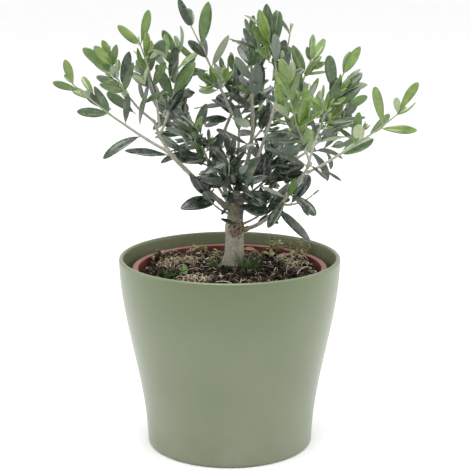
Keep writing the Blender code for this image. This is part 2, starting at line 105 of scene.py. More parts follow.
class Finish:  # one material: its nodes, its shader and the place that its patterns read

    def __init__(self, name, shader):
        self.material = bpy.data.materials.new(name)
        self.material.use_nodes = True
        self.tree = self.material.node_tree
        self.shader = self.tree.nodes["Principled BSDF"]
        for socket, value in shader.items():
            self.shader.inputs[socket].default_value = value
        self.place = self.node("ShaderNodeTexCoord", {}, {}, "Object")

    def node(self, kind, settings, sockets, output=0):
        made = self.tree.nodes.new(kind)
        for name, value in settings.items():
            if name == "stops":
                band = made.color_ramp.elements
                band.remove(band[1])
                band[0].position = value[0][0]
                for place, _ in value[1:]:
                    band.new(place)
                for stop, (_, colour) in zip(band, value):
                    stop.color = colour if len(colour) == 4 else tone(colour)
            else:
                setattr(made, name, value)
        for name, value in sockets.items():
            plug(self.tree, made.inputs[name], value)
        return Wire(self.tree, made.outputs[output])

    def cloud(self, grain, detail=3.0, place=None):  # noise whose blots are about grain mm across
        sockets = {"Vector": place or self.place, "Scale": 1 / (grain * mm), "Detail": detail}
        return self.node("ShaderNodeTexNoise", {}, sockets)

    def squeezed(self, x, y, z):  # the place, with patterns squeezed along each axis by that much
        return self.node("ShaderNodeVectorMath", {"operation": "MULTIPLY"}, {0: self.place, 1: (x, y, z)})

    def rise(self):  # height above the ground, in mm
        return self.node("ShaderNodeSeparateXYZ", {}, {0: self.place}, "Z") * 1000

    def mask(self, value, low, high):  # 0 at low, 1 at high
        return self.node("ShaderNodeMapRange", {}, {"Value": value, "From Min": low, "From Max": high})

    def near(self, centre, radius):  # 1 at the centre, fading out at the radius, both in mm
        sockets = {0: self.place, 1: [part * mm for part in centre]}
        away = self.node("ShaderNodeVectorMath", {"operation": "DISTANCE"}, sockets, "Value")
        return self.mask(away, radius * mm, radius * mm * 0.35)

    def ramp(self, value, *stops):
        return self.node("ShaderNodeValToRGB", {"stops": stops}, {"Fac": value})

    def wander(self, value, colour, darker, lighter):  # one colour, darker at low values and lighter at high
        return self.ramp(value, (0.34, tone(colour, darker)), (0.5, colour), (0.66, tone(colour, lighter)))

    def mix(self, factor, first, second):
        return self.node("ShaderNodeMix", {"data_type": "RGBA"}, {0: factor, 6: first, 7: second}, 2)

    def relief(self, height, depth):  # depth in mm, from the height's 0 to its 1
        self.set("Normal", self.node("ShaderNodeBump", {}, {"Height": height, "Distance": depth * mm}))

    def set(self, socket, value):
        plug(self.tree, self.shader.inputs[socket], value)


def mottled(name, colour, grain, spread=0.25, roughness=0.7, depth=0.0, shine=0.5, squeeze=(1, 1, 1)):
    # one colour that wanders a little darker and lighter, with a fine relief
    finish = Finish(name, {"Specular IOR Level": shine})
    cloud = finish.cloud(grain, 4, finish.squeezed(*squeeze))
    finish.set("Base Color", finish.wander(cloud, colour, 1 - spread, 1 + spread))
    finish.set("Roughness", finish.mask(cloud, 0.2, 0.8) * 0.12 + (roughness - 0.06))
    if depth:
        finish.relief(cloud, depth)
    return finish.material


def mottles(usual, kinds):  # several mottled finishes, and what most of them share
    return [mottled(name, **{**usual, **own}) for name, own in kinds.items()]


# Tables and meshes

def table(columns, *rows):  # each row as a dictionary, by the names of the columns
    return [dict(zip(columns.split(), row)) for row in rows]


def added(name, data):  # a new object in the scene
    made = bpy.data.objects.new(name, data)
    bpy.context.scene.collection.objects.link(made)
    return made


def place(name, mesh, slot, *nodes):  # a mesh becomes a piece of the plant, in place of those nodes
    piece = added(name, mesh)
    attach(piece, "root")
    if nodes:
        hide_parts(*nodes)


class Heap:  # the points and faces of many small shapes, which end as one mesh

    def __init__(self, *finishes):
        self.finishes = finishes
        self.points, self.faces, self.marks = [], [], []

    def add(self, points, faces, marks=0):  # marks: the number of a finish, or one for each face
        first = len(self.points)
        self.points += [tuple(point) for point in points]
        self.faces += [tuple(first + k for k in face) for face in faces]
        self.marks += marks if isinstance(marks, list) else [marks] * len(faces)

    def mesh(self, name, crease=180):
        made = bpy.data.meshes.new(name)
        made.from_pydata(self.points, [], self.faces)
        for finish in self.finishes:
            made.materials.append(finish)
        made.polygons.foreach_set("material_index", self.marks)
        made.shade_smooth()
        if crease < 180:
            made.set_sharp_from_angle(angle=radians(crease))
        return made

    def become(self, name, slot, *nodes, crease=180):
        place(name, self.mesh(name, crease), slot, *nodes)


def square(direction, axis):  # the direction turned until it stands square to the axis
    return (direction - axis * direction.dot(axis)).normalized()


def aimed(turn, tilt):  # a direction that points turn round from +X and tilt above the ground
    return Vector((cos(turn) * cos(tilt), sin(turn) * cos(tilt), sin(tilt)))


def scattered(reach, rng):  # x and y of a random place in a circle
    out, angle = reach * sqrt(rng.random()), rng.uniform(0, tau)
    return out * cos(angle), out * sin(angle)


def frames(path):  # a tangent and two side directions at each point of a path, carried along without twisting
    runs = [(b - a).normalized() for a, b in zip(path, path[1:])]
    tangents = [runs[0], *[(a + b).normalized() for a, b in zip(runs, runs[1:])], runs[-1]]
    side = tangents[0].orthogonal().normalized()
    made = []
    for tangent in tangents:
        side = square(side, tangent)
        made.append((tangent, side, tangent.cross(side)))
    return made


def gone(path):  # how far it is along the path to each of its points
    lengths = [0]
    for a, b in zip(path, path[1:]):
        lengths.append(lengths[-1] + (b - a).length)
    return lengths


def tube(path, radii, sides, flat=1.0):  # closed at both ends; flat under 1 makes a strap of it
    points, faces = [], []
    for centre, radius, (_, side, other) in zip(path, radii, frames(path)):
        for k in range(sides):
            angle = tau * k / sides
            points.append(centre + (side * cos(angle) + other * (sin(angle) * flat)) * radius)
    for ring in range(len(path) - 1):
        for k in range(sides):
            a, b = ring * sides + k, ring * sides + (k + 1) % sides
            faces.append((a, b, b + sides, a + sides))
    faces.append(tuple(range(sides - 1, -1, -1)))
    faces.append(tuple(range(len(points) - sides, len(points))))
    return points, faces


def turned(outline, around):  # an outline of (radius, height) points in mm, spun round the upright axis
    points, rings, faces = [], [], []
    for radius, height in outline:
        count = around if radius else 1
        rings.append([len(points) + k for k in range(count)])
        for k in range(count):
            angle = tau * k / around
            points.append(Vector((radius * cos(angle), radius * sin(angle), height)) * mm)
    for low, high in zip(rings, rings[1:]):
        for k in range(around):
            beside = k + 1
            edge = [low[k % len(low)], low[beside % len(low)], high[beside % len(high)], high[k % len(high)]]
            faces.append(tuple(dict.fromkeys(edge)))
    return points, faces


def arc(centre, radius, start, end, steps):  # (radius, height) points of an arc, angles in degrees
    angles = [radians(start + (end - start) * k / steps) for k in range(steps + 1)]
    return [(centre[0] + radius * cos(a), centre[1] + radius * sin(a)) for a in angles]


def bowed(start, end, bow, steps):  # a path whose middle is pushed aside by bow
    shares = [k / steps for k in range(steps + 1)]
    return [start.lerp(end, t) + bow * (4 * t * (1 - t)) for t in shares]


def smoothstep(share):
    share = min(max(share, 0), 1)
    return share * share * (3 - 2 * share)


# Planter: a fine satin plastic, its side one smooth S from foot to rim

planter = dict(footRadius=55.0, wall=3.0, floor=4.0, footRound=2.4, cove=2.0, steps=64, around=224)
# upper is painted shade: a deeper olive laid over the upper part of the side, fading in between the two heights
# after it
sage = dict(greens=((0.36, (93, 103, 75)), (0.64, (101, 110, 84))), upper=(81, 95, 55), paintedShadeRise=(72, 122),
            # rim is a painted highlight: a paler green on the top of the rim, between the heights after it
            rim=(132, 140, 116), rimRise=(126.4, 127.6), dust=(140, 146, 126), dustRise=(46, 2),
            inside=(146, 145, 118), insideShare=0.8)


def planterFinish(name, ground):  # ground: 0 outside, and the share of brown dust on the inside
    finish = Finish(name, {"Specular IOR Level": 0.5, "Coat Weight": 0.45, "Coat Roughness": 0.34})
    broad, fine, rise = finish.cloud(46, 2), finish.cloud(1.1, 3), finish.rise()
    green = finish.ramp(broad * 0.75 + fine * 0.25, *sage["greens"])
    # painted shade: the upper part of the side darker and more olive
    green = finish.mix(finish.mask(rise, *sage["paintedShadeRise"]) * 0.75, green, sage["upper"])
    # painted highlight: a ragged paler band along the top of the rim
    paintedRimHighlight = finish.mix(finish.mask(rise + fine * 1.4, *sage["rimRise"]) * 0.35, green, sage["rim"])
    dust = finish.mask(finish.cloud(16, 5), 0.1, 0.9) * finish.mask(rise, *sage["dustRise"]) * 0.42
    paintedLightAndDust = finish.mix(dust, paintedRimHighlight, sage["dust"])
    finish.set("Base Color", finish.mix(fine * ground, paintedLightAndDust, sage["inside"]) if ground else paintedLightAndDust)
    finish.set("Roughness", fine * 0.10 + finish.mask(broad, 0.3, 0.7) * 0.05 + 0.36)
    finish.relief(fine * 0.6 + finish.cloud(0.45, 2) * 0.4, 0.035)
    return finish.material


def makePlanter():
    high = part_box("planter")[1]
    height, rim, foot = high.z / mm, high.x / mm, planter["footRadius"]
    wall, bend, floor, cove = (planter[key] for key in ("wall", "footRound", "floor", "cove"))
    bead = wall / 2
    shoulder = height - bead

    def side(z):
        return foot + (rim - foot) * smoothstep(z / height)

    rises = [bend + (shoulder - bend) * k / planter["steps"] for k in range(planter["steps"] + 1)]
    underside = [(0, 0), (foot * 0.5, 0), (foot - bend - 1, 0)]
    toe = arc((foot - bend, bend), bend, -90, -12, 8)
    outside = [(side(z), z) for z in rises[1:]]
    lip = arc((rim - bead, shoulder), bead, 15, 165, 10)
    inside = [(side(z) - wall, z) for z in reversed(rises) if z > floor + cove]
    corner = arc((side(floor + cove) - wall - cove, floor + cove), cove, 0, -90, 4)
    outline = [*underside, *toe, *outside, *lip, *inside, *corner, (20, floor), (0, floor)]
    points, faces = turned(outline, planter["around"])
    inner = (len(underside) + len(toe) + len(outside) + len(lip) - 1) * planter["around"]
    heap = Heap(planterFinish("sageOutside", 0), planterFinish("sageInside", sage["insideShare"]))
    heap.add(points, faces, [int(k >= inner) for k in range(len(faces))])
    heap.become("planterShell", "planter", "planter", crease=50)
    print("planter turned")


# Nursery pot: thin terracotta-coloured plastic with a broad lip, dusty where soil and water have dried on it, with
# a painted highlight along the top of the lip

nurseryPot = dict(footRadius=46.0, topRadius=61.5, wall=1.6, floor=2.0, lipHeight=8.5, lipRound=1.1,
                  around=192)
terracotta = dict(clay=((0.35, (72, 30, 26)), (0.55, (98, 43, 37)), (0.7, (114, 56, 48))),
                  # the pale colour of the painted highlight on the lip's top, and how far below the top it fades
                  # out, in mm
                  paintedSheen=(176, 140, 128), paintedSheenDepth=(0.45, 0.15), soil=(52, 38, 30),
                  soilRise=(118.5, 115.5))


def nurseryFinish():
    finish = Finish("terracottaPlastic", {"Specular IOR Level": 0.25})
    rise, broad, fine = finish.rise(), finish.cloud(14, 5), finish.cloud(1.2, 4)
    clay = finish.ramp(broad, *terracotta["clay"])
    lime = finish.mask(broad * 0.6 + fine * 0.4, 0.50, 0.66)
    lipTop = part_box("nursery_pot")[1].z / mm
    # painted highlight: a paler band over the top of the lip, with a little pale dust in blotches
    paintedSheen = finish.mask(rise, *[lipTop - depth for depth in terracotta["paintedSheenDepth"]]) * 0.46 + lime * 0.08
    paintedLightAndDust = finish.mix(paintedSheen, clay, terracotta["paintedSheen"])
    soiled = finish.mask(rise + broad * 7, *terracotta["soilRise"]) * finish.mask(fine, 0.36, 0.6)
    finish.set("Base Color", finish.mix(soiled * 0.75, paintedLightAndDust, terracotta["soil"]))
    finish.set("Roughness", fine * 0.2 + 0.5)
    finish.relief(fine, 0.06)
    return finish.material


def potInside(height):  # the nursery pot's inner radius at a height, both in mm
    low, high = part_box("nursery_pot")
    share = (height - low.z / mm) / ((high.z - low.z) / mm)
    foot, top = nurseryPot["footRadius"], nurseryPot["topRadius"]
    return foot + (top - foot) * share - nurseryPot["wall"]


def makeNurseryPot():
    low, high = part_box("nursery_pot")
    foot, top, lip, wall = low.z / mm, high.z / mm, high.x / mm, nurseryPot["wall"]
    underLip, bend = top - nurseryPot["lipHeight"], nurseryPot["lipRound"]
    floor = foot + nurseryPot["floor"]
    walls = [foot + 1 + (underLip - foot - 1) * k / 12 for k in range(13)]
    heap = Heap(nurseryFinish())
    heap.add(*turned([
        (0, foot), (nurseryPot["footRadius"] - 1, foot),
        *[(potInside(z) + wall, z) for z in walls],
        (lip - 0.6, underLip), (lip - 0.15, underLip + 0.5), (lip - 0.35, (underLip + top) / 2),
        *arc((lip - bend, top - bend), bend, 0, 90, 6),
        *arc((potInside(top) + bend, top - bend), bend, 90, 180, 6),
        *[(potInside(z), z) for z in reversed(walls) if z > floor],
        (potInside(floor), floor), (0, floor)], nurseryPot["around"]))
    heap.become("nurseryPotShell", "nursery_pot", "nursery_pot", crease=40)
    print("nursery pot turned")


# Limbs: the trunk, boughs, stems and twigs grow by the rule that shaped the model's own solids

clear = 0.3 * mm  # the gap that the model leaves between one limb and the next
trunkPlan = dict(foot=(1.5, 6.0, 117.5), top=(4.2, 6.5, 167.0), bow=(-0.8, 0.3, 0.0), footRadius=6.5,
                 topRadius=4.4, flare=1.5, flareReach=0.10, knotSwell=0.9, knotPlace=0.53, knotReach=0.09,
                 rings=16)
limbRings = dict(bough=7, stem=5, twig=2)
tipGirth = 0.8 * mm

# what each bough grows from and how far along that, its tip and bow, and its two girths, in mm
boughs = dict(
    left_bough=dict(on="trunk", at=0.82, tip=(-39, -14, 198), bow=(0, 0, -1), girth=(3.9, 2.9)),
    upper_left_bough=dict(on="left_bough", at=0.9, tip=(-48, -3, 215), bow=(-1, 1, -1), girth=(2.4, 1.9)),
    top_left_bough=dict(on="trunk", at=0.93, tip=(1, 17, 217), bow=(-6, 2, 0), girth=(3.0, 2.2)),
    leader_bough=dict(on="trunk", at=1, tip=(15, 14, 216), bow=(3, 0, 0), girth=(3.8, 2.6)),
    up_right_bough=dict(on="trunk", at=0.9, tip=(29, -14, 227), bow=(0, -2, -1), girth=(3.1, 2.0)),
    rear_right_bough=dict(on="trunk", at=0.8, tip=(47, 26, 194), bow=(1, -1, -4), girth=(2.9, 2.1)),
    low_right_bough=dict(on="trunk", at=0.53, tip=(36, -22, 170), bow=(1, 0, -4), girth=(3.1, 2.4)),
    right_fork_bough=dict(on="low_right_bough", at=1, tip=(50, -34, 193), bow=(0, 0, 0), girth=(2.2, 1.9)),
    inner_left_bough=dict(on="trunk", at=0.86, tip=(-16, 24, 189), bow=(-1, 1, -2), girth=(2.4, 1.8)),
    rear_bough=dict(on="trunk", at=0.72, tip=(6, 38, 196), bow=(0, 2, -4), girth=(2.8, 2.1)),
)


def tapered(foot, tip, steps):
    return [(foot + (tip - foot) * k / steps) / 2 for k in range(steps + 1)]


class Limb:  # a path and the radius at each of its points

    def __init__(self, path, radii):
        self.path = path
        self.radii = radii

    def at(self, share):
        where = min(max(share, 0), 1) * (len(self.path) - 1)
        k = min(int(where), len(self.path) - 2)
        a, b = self.path[k], self.path[k + 1]
        radius = self.radii[k] + (self.radii[k + 1] - self.radii[k]) * (where - k)
        return a.lerp(b, where - k), (b - a).normalized(), radius


def seat(limb, share, toward, radius):  # where a limb starts, just clear of its carrier
    point, along, girth = limb.at(share)
    heading = (toward - point).normalized()
    lean = abs(heading.dot(along))
    if share >= 1:
        return point + along * (clear + radius * sqrt(1 - lean * lean))
    return point + square(heading, along) * (girth + clear + radius * lean)


def limbOn(limbs, plan, foot, tip, steps):
    end, bow = Vector(plan["tip"]) * mm, Vector(plan["bow"]) * mm
    start = seat(limbs[plan["on"]], plan["at"], end + bow * 4, foot / 2)
    return Limb(bowed(start, end, bow, steps), tapered(foot, tip, steps))


def trunkRadius(share):
    flare = max(0, 1 - share / trunkPlan["flareReach"]) ** 2
    knot = max(0, 1 - ((share - trunkPlan["knotPlace"]) / trunkPlan["knotReach"]) ** 2)
    straight = trunkPlan["footRadius"] + (trunkPlan["topRadius"] - trunkPlan["footRadius"]) * share
    return (straight + trunkPlan["flare"] * flare + trunkPlan["knotSwell"] * knot) * mm


def growLimbs():
    foot, top, bow = (Vector(trunkPlan[key]) * mm for key in ("foot", "top", "bow"))
    rings = trunkPlan["rings"]
    limbs = {"trunk": Limb(bowed(foot, top, bow, rings), [trunkRadius(k / rings) for k in range(rings + 1)])}
    for name, plan in boughs.items():
        limbs[name] = limbOn(limbs, plan, *[girth * mm for girth in plan["girth"]], limbRings["bough"])
    return limbs


# Foliage: the plan of every spray, with what its leaves look like

pairRule = dict(openTip=28.0, openSpread=13.0, turnSpread=16.0, rollSpread=34.0, flipped=0.2, lift=28.0,
                last=0.985, shrink=0.25, sunk=0.4, sizes=(0.8, 1.12))
twigRule = dict(open=42.0, spread=12.0, lift=0.45, girth=1.2 * mm, start=0.12, span=0.62, stagger=(0.2, 0.6),
                turn=30.0, sizes=(0.75, 1.1), bow=0.08, sunk=0.3, bare=0.4, leaf=0.9, long=19.0 * mm)

# where each spray's stem starts and ends, its girth, leaf pairs, side twigs and leaf length in mm, how its
# leaves turn, open, face and hang, its seed, the age of its leaves (0 old, 1 fresh) and its finer twigs.
# shed lists the leaves left off each branch (0 the stem, 1 and up its twigs), ages and green what is said of
# one leaf, by branch and number: its age, and whether its green side shows where its top is in the dark
usualSpray = dict(bow=(0, 0, 0), girth=1.8, pairs=5, bare=0.2, twigs=2, reach=22, leaf=25, turn=0,
                  open=60, face=0, droop=0, green={}, shed={}, ages={}, ripening=0.7)
# Low ages in the crown's middle, where the crown shades its leaves, make them darker: partly older leaves and
# partly painted shade
sprays = dict(
    far_left_spray=dict(
        usualSpray, on="left_bough", at=1, tip=(-97, -28, 243), bow=(-1, 0, -2), girth=2.2, turn=15,
        open=52, face=-15, seed=31, green={(0, 6): True, (0, 8): True}, shed={0: (0, 1, 2, 3, 9)},
        ages={(0, 8): 0.92}, age=0.64, fine=0),
    left_spray=dict(
        usualSpray, on="upper_left_bough", at=1, tip=(-72, -28, 254), bow=(-3, 0, -2), reach=20, leaf=23,
        face=-25, seed=16, shed={0: (1,)}, age=0.72, fine=1),
    left_tall_spray=dict(
        usualSpray, on="upper_left_bough", at=0.88, tip=(-57, 4, 264), bow=(2, 0, 0), bare=0.3, twigs=1,
        leaf=24, turn=75, open=50, face=-5, seed=5, green={(0, 4): True}, shed={0: (7, 8, 9)}, age=0.78,
        fine=1),
    left_inner_spray=dict(
        usualSpray, on="upper_left_bough", at=0.72, tip=(-33, 20, 257), bow=(2, 0, -2), bare=0.25,
        leaf=24, turn=120, face=10, seed=39, age=0.55, fine=2),
    top_left_spray=dict(
        usualSpray, on="top_left_bough", at=1, tip=(-25, 26, 274), bow=(1, 0, -1), girth=2.0, pairs=6,
        bare=0.1, twigs=1, turn=165, face=-10, seed=25, shed={0: (4, 5, 8, 9), 1: (0,)},
        ages={(0, 6): 0.35, (0, 7): 0.3, (0, 10): 0.25, (0, 11): 0.5}, age=0.80, fine=3),
    leader_spray=dict(
        usualSpray, on="leader_bough", at=1, tip=(13.5, 12, 266), girth=2.4, pairs=6, bare=0.12, reach=18,
        leaf=24, turn=15, seed=26, age=0.50, fine=5),
    crown_spray=dict(
        usualSpray, on="up_right_bough", at=1, tip=(22, -12, 273), bow=(4, 0, 0), bare=0.15, reach=18,
        leaf=28, turn=105, open=42, face=5, seed=8, shed={0: (1, 8), 1: (0, 1), 2: (0, 1)},
        ages={(0, 7): 0.4, (1, 2): 0.6, (2, 2): 0.35, (2, 3): 0.35}, age=0.70, ripening=1.2, fine=1),
    crown_right_spray=dict(
        usualSpray, on="up_right_bough", at=0.9, tip=(38, -6, 272), bow=(1, 0, 0), girth=1.6, bare=0.3,
        twigs=0, leaf=23, turn=165, open=46, face=20, seed=5, shed={0: (0, 4, 5, 7)}, age=0.56, fine=2),
    right_top_spray=dict(
        usualSpray, on="rear_right_bough", at=1, tip=(54, 38, 251), bow=(-5, 0, 0), bare=0.15, turn=60,
        open=48, face=15, seed=25, shed={0: (7,)}, age=0.76, fine=4),
    right_rear_spray=dict(
        usualSpray, on="rear_right_bough", at=0.88, tip=(78, 44, 218), bow=(2, 4, -3), turn=30, face=120,
        seed=1, age=0.45, fine=11),
    front_right_spray=dict(
        usualSpray, on="right_fork_bough", at=1, tip=(35, -60, 243), bow=(-1, -4, 0), pairs=6, twigs=1,
        leaf=28, turn=120, open=40, face=5, seed=32, shed={0: (5, 7, 8), 1: (1, 4)}, age=0.84,
        ripening=0.9, fine=4),
    right_upper_spray=dict(
        usualSpray, on="right_fork_bough", at=0.9, tip=(72, -8, 247), bow=(-1, 4, 0), pairs=4, bare=0.3,
        twigs=3, leaf=26, turn=15, open=44, face=15, seed=38, shed={0: (4,), 3: (1, 3)}, age=0.70, fine=11),
    far_right_spray=dict(
        usualSpray, on="right_fork_bough", at=0.8, tip=(103, -42, 226), bow=(0, 0, -2), bare=0.36,
        twigs=0, leaf=27, turn=90, face=10, seed=31, green={(0, 0): True}, shed={0: (1, 3, 4, 6, 7, 8)},
        age=0.80, fine=1),
    low_right_spray=dict(
        usualSpray, on="low_right_bough", at=0.9, tip=(52, -26, 172), bow=(0, 0, -2), girth=1.4, pairs=3,
        twigs=0, leaf=24, turn=165, face=10, droop=0.4, seed=1, shed={0: (1, 3, 4, 5)}, age=0.28, fine=0),
    knot_spray=dict(
        usualSpray, on="trunk", at=0.6, tip=(27, -6, 163), bow=(2, 0, -1), girth=1.6, pairs=4, bare=0.4,
        twigs=0, leaf=24, turn=90, face=5, droop=0.2, seed=2, shed={0: (2,)}, age=0.16, fine=2),
    low_left_spray=dict(
        usualSpray, on="trunk", at=0.74, tip=(-16, -12, 170), bow=(0, 0, -2), girth=1.6, pairs=3,
        bare=0.5, twigs=0, leaf=26, turn=45, face=-10, droop=0.4, seed=15, shed={0: (0, 1, 3)}, age=0.14,
        fine=2),
    mid_left_spray=dict(
        usualSpray, on="trunk", at=0.95, tip=(-24, -6, 208), bow=(1, 0, 0), bare=0.15, twigs=3, leaf=24,
        turn=165, face=-10, seed=30, age=0.32, fine=6),
    inner_left_spray=dict(
        usualSpray, on="inner_left_bough", at=1, tip=(-35, 44, 222), bow=(0, 2, -2), girth=1.6, bare=0.12,
        turn=60, face=-150, seed=14, shed={0: (0,), 1: (1,)}, age=0.26, fine=4),
    inner_front_spray=dict(
        usualSpray, on="trunk", at=0.86, tip=(0, -34, 199), bow=(-1, -2, -3), pairs=6, twigs=4, reach=18,
        leaf=24, open=70, droop=0.1, seed=14, green={(0, 5): False},
        ages={(0, 7): 0.06, (0, 8): 0.1, (4, 3): 0.1}, age=0.18, fine=9),
    inner_right_spray=dict(
        usualSpray, on="trunk", at=0.96, tip=(38, -2, 196), bow=(0, 0, -3), reach=20, leaf=24, turn=150,
        face=10, seed=40, green={(0, 1): False, (1, 0): True, (1, 1): False, (2, 1): True, (2, 2): False},
        age=0.15, fine=7),
    rear_spray=dict(
        usualSpray, on="rear_bough", at=1, tip=(2, 56, 242), bow=(2, 4, 0), bare=0.12, turn=75, face=180,
        seed=19, age=0.4, fine=2),
    rear_right_spray=dict(
        usualSpray, on="rear_bough", at=0.9, tip=(36, 66, 222), bow=(1, 2, -3), bare=0.25, twigs=3,
        turn=135, face=150, seed=19, age=0.42, fine=6),
    rear_left_spray=dict(
        usualSpray, on="rear_bough", at=0.78, tip=(-36, 66, 214), bow=(-2, 3, -4), bare=0.3, turn=90,
        face=-160, seed=36, shed={0: (3,), 1: (1,)}, age=0.35, fine=2),
)


def across(tangent, turn):
    flat = tangent.cross(front)
    if flat.length < 0.2:
        flat = tangent.cross(up)
    return Matrix.Rotation(radians(turn), 3, tangent) @ flat.normalized()


def facing(azimuth):
    around, lift = radians(azimuth), radians(pairRule["lift"])
    return Vector((sin(around) * cos(lift), -cos(around) * cos(lift), sin(lift)))


def leafPlans(stem, pairs, bare, length, turn, plan, rng):
    # root, direction, upper side, length and place along the stem of each leaf, in pairs a quarter turn apart
    rule, leaves = pairRule, []
    look = facing(plan["face"])
    for k in range(pairs):
        share = bare + (1 - bare) * k / max(pairs - 1, 1)
        point, along, radius = stem.at(min(share, rule["last"]))
        turnedBy = turn + 90 * k + rng.uniform(-rule["turnSpread"], rule["turnSpread"])
        opened = plan["open"] + (rule["openTip"] - plan["open"]) * share
        for sign in (1, -1):
            aside = across(along, turnedBy) * sign
            angle = radians(opened + rng.uniform(-rule["openSpread"], rule["openSpread"]))
            heading = (along * cos(angle) + aside * sin(angle) - up * plan["droop"]).normalized()
            size = length * mm * (1 - rule["shrink"] * share * share) * rng.uniform(*rule["sizes"])
            roll = Matrix.Rotation(radians(rng.gauss(0, rule["rollSpread"])), 3, heading)
            flip = -1 if rng.random() < rule["flipped"] else 1
            upper = look - heading * look.dot(heading)
            if upper.length < 0.25:
                upper = along - heading * along.dot(heading)
            upper = roll @ upper.normalized() * flip
            leaves.append((point - aside * radius * rule["sunk"], heading, upper, size, share))
    return leaves


def twigPlans(stem, plan):
    rule, twigs = twigRule, []
    for k in range(plan["twigs"]):
        rng = Random(plan["seed"] * 100 + k)
        share = rule["start"] + rule["span"] * (k + rng.uniform(*rule["stagger"])) / plan["twigs"]
        point, along, radius = stem.at(share)
        turnedBy = plan["turn"] + 90 * k + 180 * (k // 2) + rng.uniform(-rule["turn"], rule["turn"])
        angle = radians(rule["open"] + rng.uniform(-rule["spread"], rule["spread"]))
        heading = along * cos(angle) + across(along, turnedBy) * sin(angle)
        heading = (heading + up * rule["lift"] * rng.random()).normalized()
        reach = plan["reach"] * mm * rng.uniform(*rule["sizes"])
        start = point - heading * radius * rule["sunk"]
        rings = limbRings["twig"]
        path = bowed(start, point + heading * reach, along * reach * -rule["bow"], rings)
        twig = Limb(path, tapered(rule["girth"], tipGirth, rings))
        pairs = 3 if reach > rule["long"] else 2
        turn = rng.uniform(0, 180)
        length = plan["leaf"] * rule["leaf"]
        twigs.append((twig, leafPlans(twig, pairs, rule["bare"], length, turn, plan, rng)))
    return twigs


def treeOf(points):
    found = KDTree(len(points))
    for k, point in enumerate(points):
        found.insert(point, k)
    found.balance()
    return found


# a leaf as the model's solids have it, and how near one of its corners has to be
modelLeaf = dict(slim=0.31, shoulders=((0.30, 0.95), (0.76, 0.84)), sag=0.10, near=0.05 * mm)


def inModel(tree, root, heading, upper, size):  # true if the model's spray has a corner of this leaf
    form = modelLeaf
    lateral, half = heading.cross(upper), size * form["slim"] / 2
    corners = [(1, 0), *[(share, sign * width) for share, width in form["shoulders"] for sign in (1, -1)]]
    for share, aside in corners:
        sunk = upper * (form["sag"] * size * share * share)
        corner = root + heading * (size * share) + lateral * (half * aside) - sunk
        if tree.find(corner)[2] < form["near"]:
            return True
    return False


# Leaves: leathery blades on a short stalk, glossy green above and felted silver below

leafAges = table("top under rib",  # from old to fresh
                 ((21, 32, 18), (104, 115, 105), (40, 53, 34)),
                 ((34, 50, 26), (119, 130, 117), (53, 70, 40)),
                 ((57, 81, 37), (136, 147, 125), (72, 92, 47)),
                 ((79, 106, 43), (149, 161, 131), (97, 120, 56)),
                 ((102, 128, 49), (160, 171, 138), (119, 141, 64)))
leafGloss = {"Specular IOR Level": 0.7, "Coat Weight": 0.18, "Coat Roughness": 0.28}
leafForm = dict(stalk=0.09, stalkHalf=0.36 * mm, stalkDepth=0.30 * mm, depth=0.13 * mm,
                ribDepth=0.16 * mm, columns=(-1, -0.86, -0.48, -0.055, 0.055, 0.48, 0.86, 1), rows=12,
                slim=(0.25, 0.36), belly=(0.48, 0.66), point=(0.46, 0.66), margin=0.09, bend=(0.14, 0.11),
                sway=0.05, twist=0.38, fold=(0.08, 0.70), bentFold=0.4, roll=0.12, wave=0.09, waves=9,
                light=(-0.1, -0.5, 0.85), shade=0.0, righted=0.65)


def leafFinishes():
    made = [mottled("leafStalk", (144, 152, 118), grain=1.5, spread=0.12, roughness=0.55)]
    for age, look in enumerate(leafAges):
        top = Finish(f"leafTop{age}", leafGloss)
        cloud, pores = top.cloud(5, 3), top.cloud(0.55, 2)
        # the blotches, from darker to a third lighter, are partly tone that differs and partly painted sheen
        green = top.wander(cloud * 0.8 + pores * 0.2, look["top"], 0.72, 1.35)
        # painted sheen: pale grey-green patches that stand in for the leaf's gloss, fewer on a fresh one
        paintedSheen = top.mask(top.cloud(3.4, 4), 0.50, 0.66) * (0.36 - 0.05 * age)
        top.set("Base Color", top.mix(paintedSheen, green, (120, 139, 120)))
        top.set("Roughness", cloud * 0.2 + 0.18)
        top.relief(pores, 0.05)
        felt = dict(grain=1.8, spread=0.10, roughness=0.8, depth=0.03, shine=0.2)
        under = mottled(f"leafUnder{age}", look["under"], **felt)
        rib = mottled(f"leafRib{age}", look["rib"], grain=1.4, spread=0.12, roughness=0.5)
        made += [top.material, under, rib]
    return made


def weaveLeaf():  # the faces that every leaf has, and their finishes with its top up and with it turned over
    # 0 stalk, 1 top, 2 underside, 3 midrib, and -2 a margin in the next darker top, painted shade on the
    # turned-down margin
    columns, last = leafForm["columns"], leafForm["rows"] + 2
    above, below, count = [], [], 0
    for row in range(last + 1):
        above.append([])
        below.append([])
        for aside in columns:
            layers = 1 if row in (0, last) or abs(aside) == 1 else 2
            above[-1].append(count)
            below[-1].append(count + layers - 1)
            count += layers
    faces, marks = [], {False: [], True: []}
    for row in range(last):
        for k in range(len(columns) - 1):
            faces.append((above[row][k], above[row][k + 1], above[row + 1][k + 1], above[row + 1][k]))
            faces.append((below[row][k + 1], below[row][k], below[row + 1][k], below[row + 1][k + 1]))
            # the margin strips of a top take the next darker top as painted shade
            rib, margin = k == len(columns) // 2 - 1, k in (0, len(columns) - 2)
            marks[False] += (0, 0) if row < 2 else (3 if rib else -2 if margin else 1, 0 if rib else 2)
            marks[True] += (0, 0) if row < 2 else (2, 3 if rib else 1)
    return faces, marks


leafFaces, leafMarks = weaveLeaf()


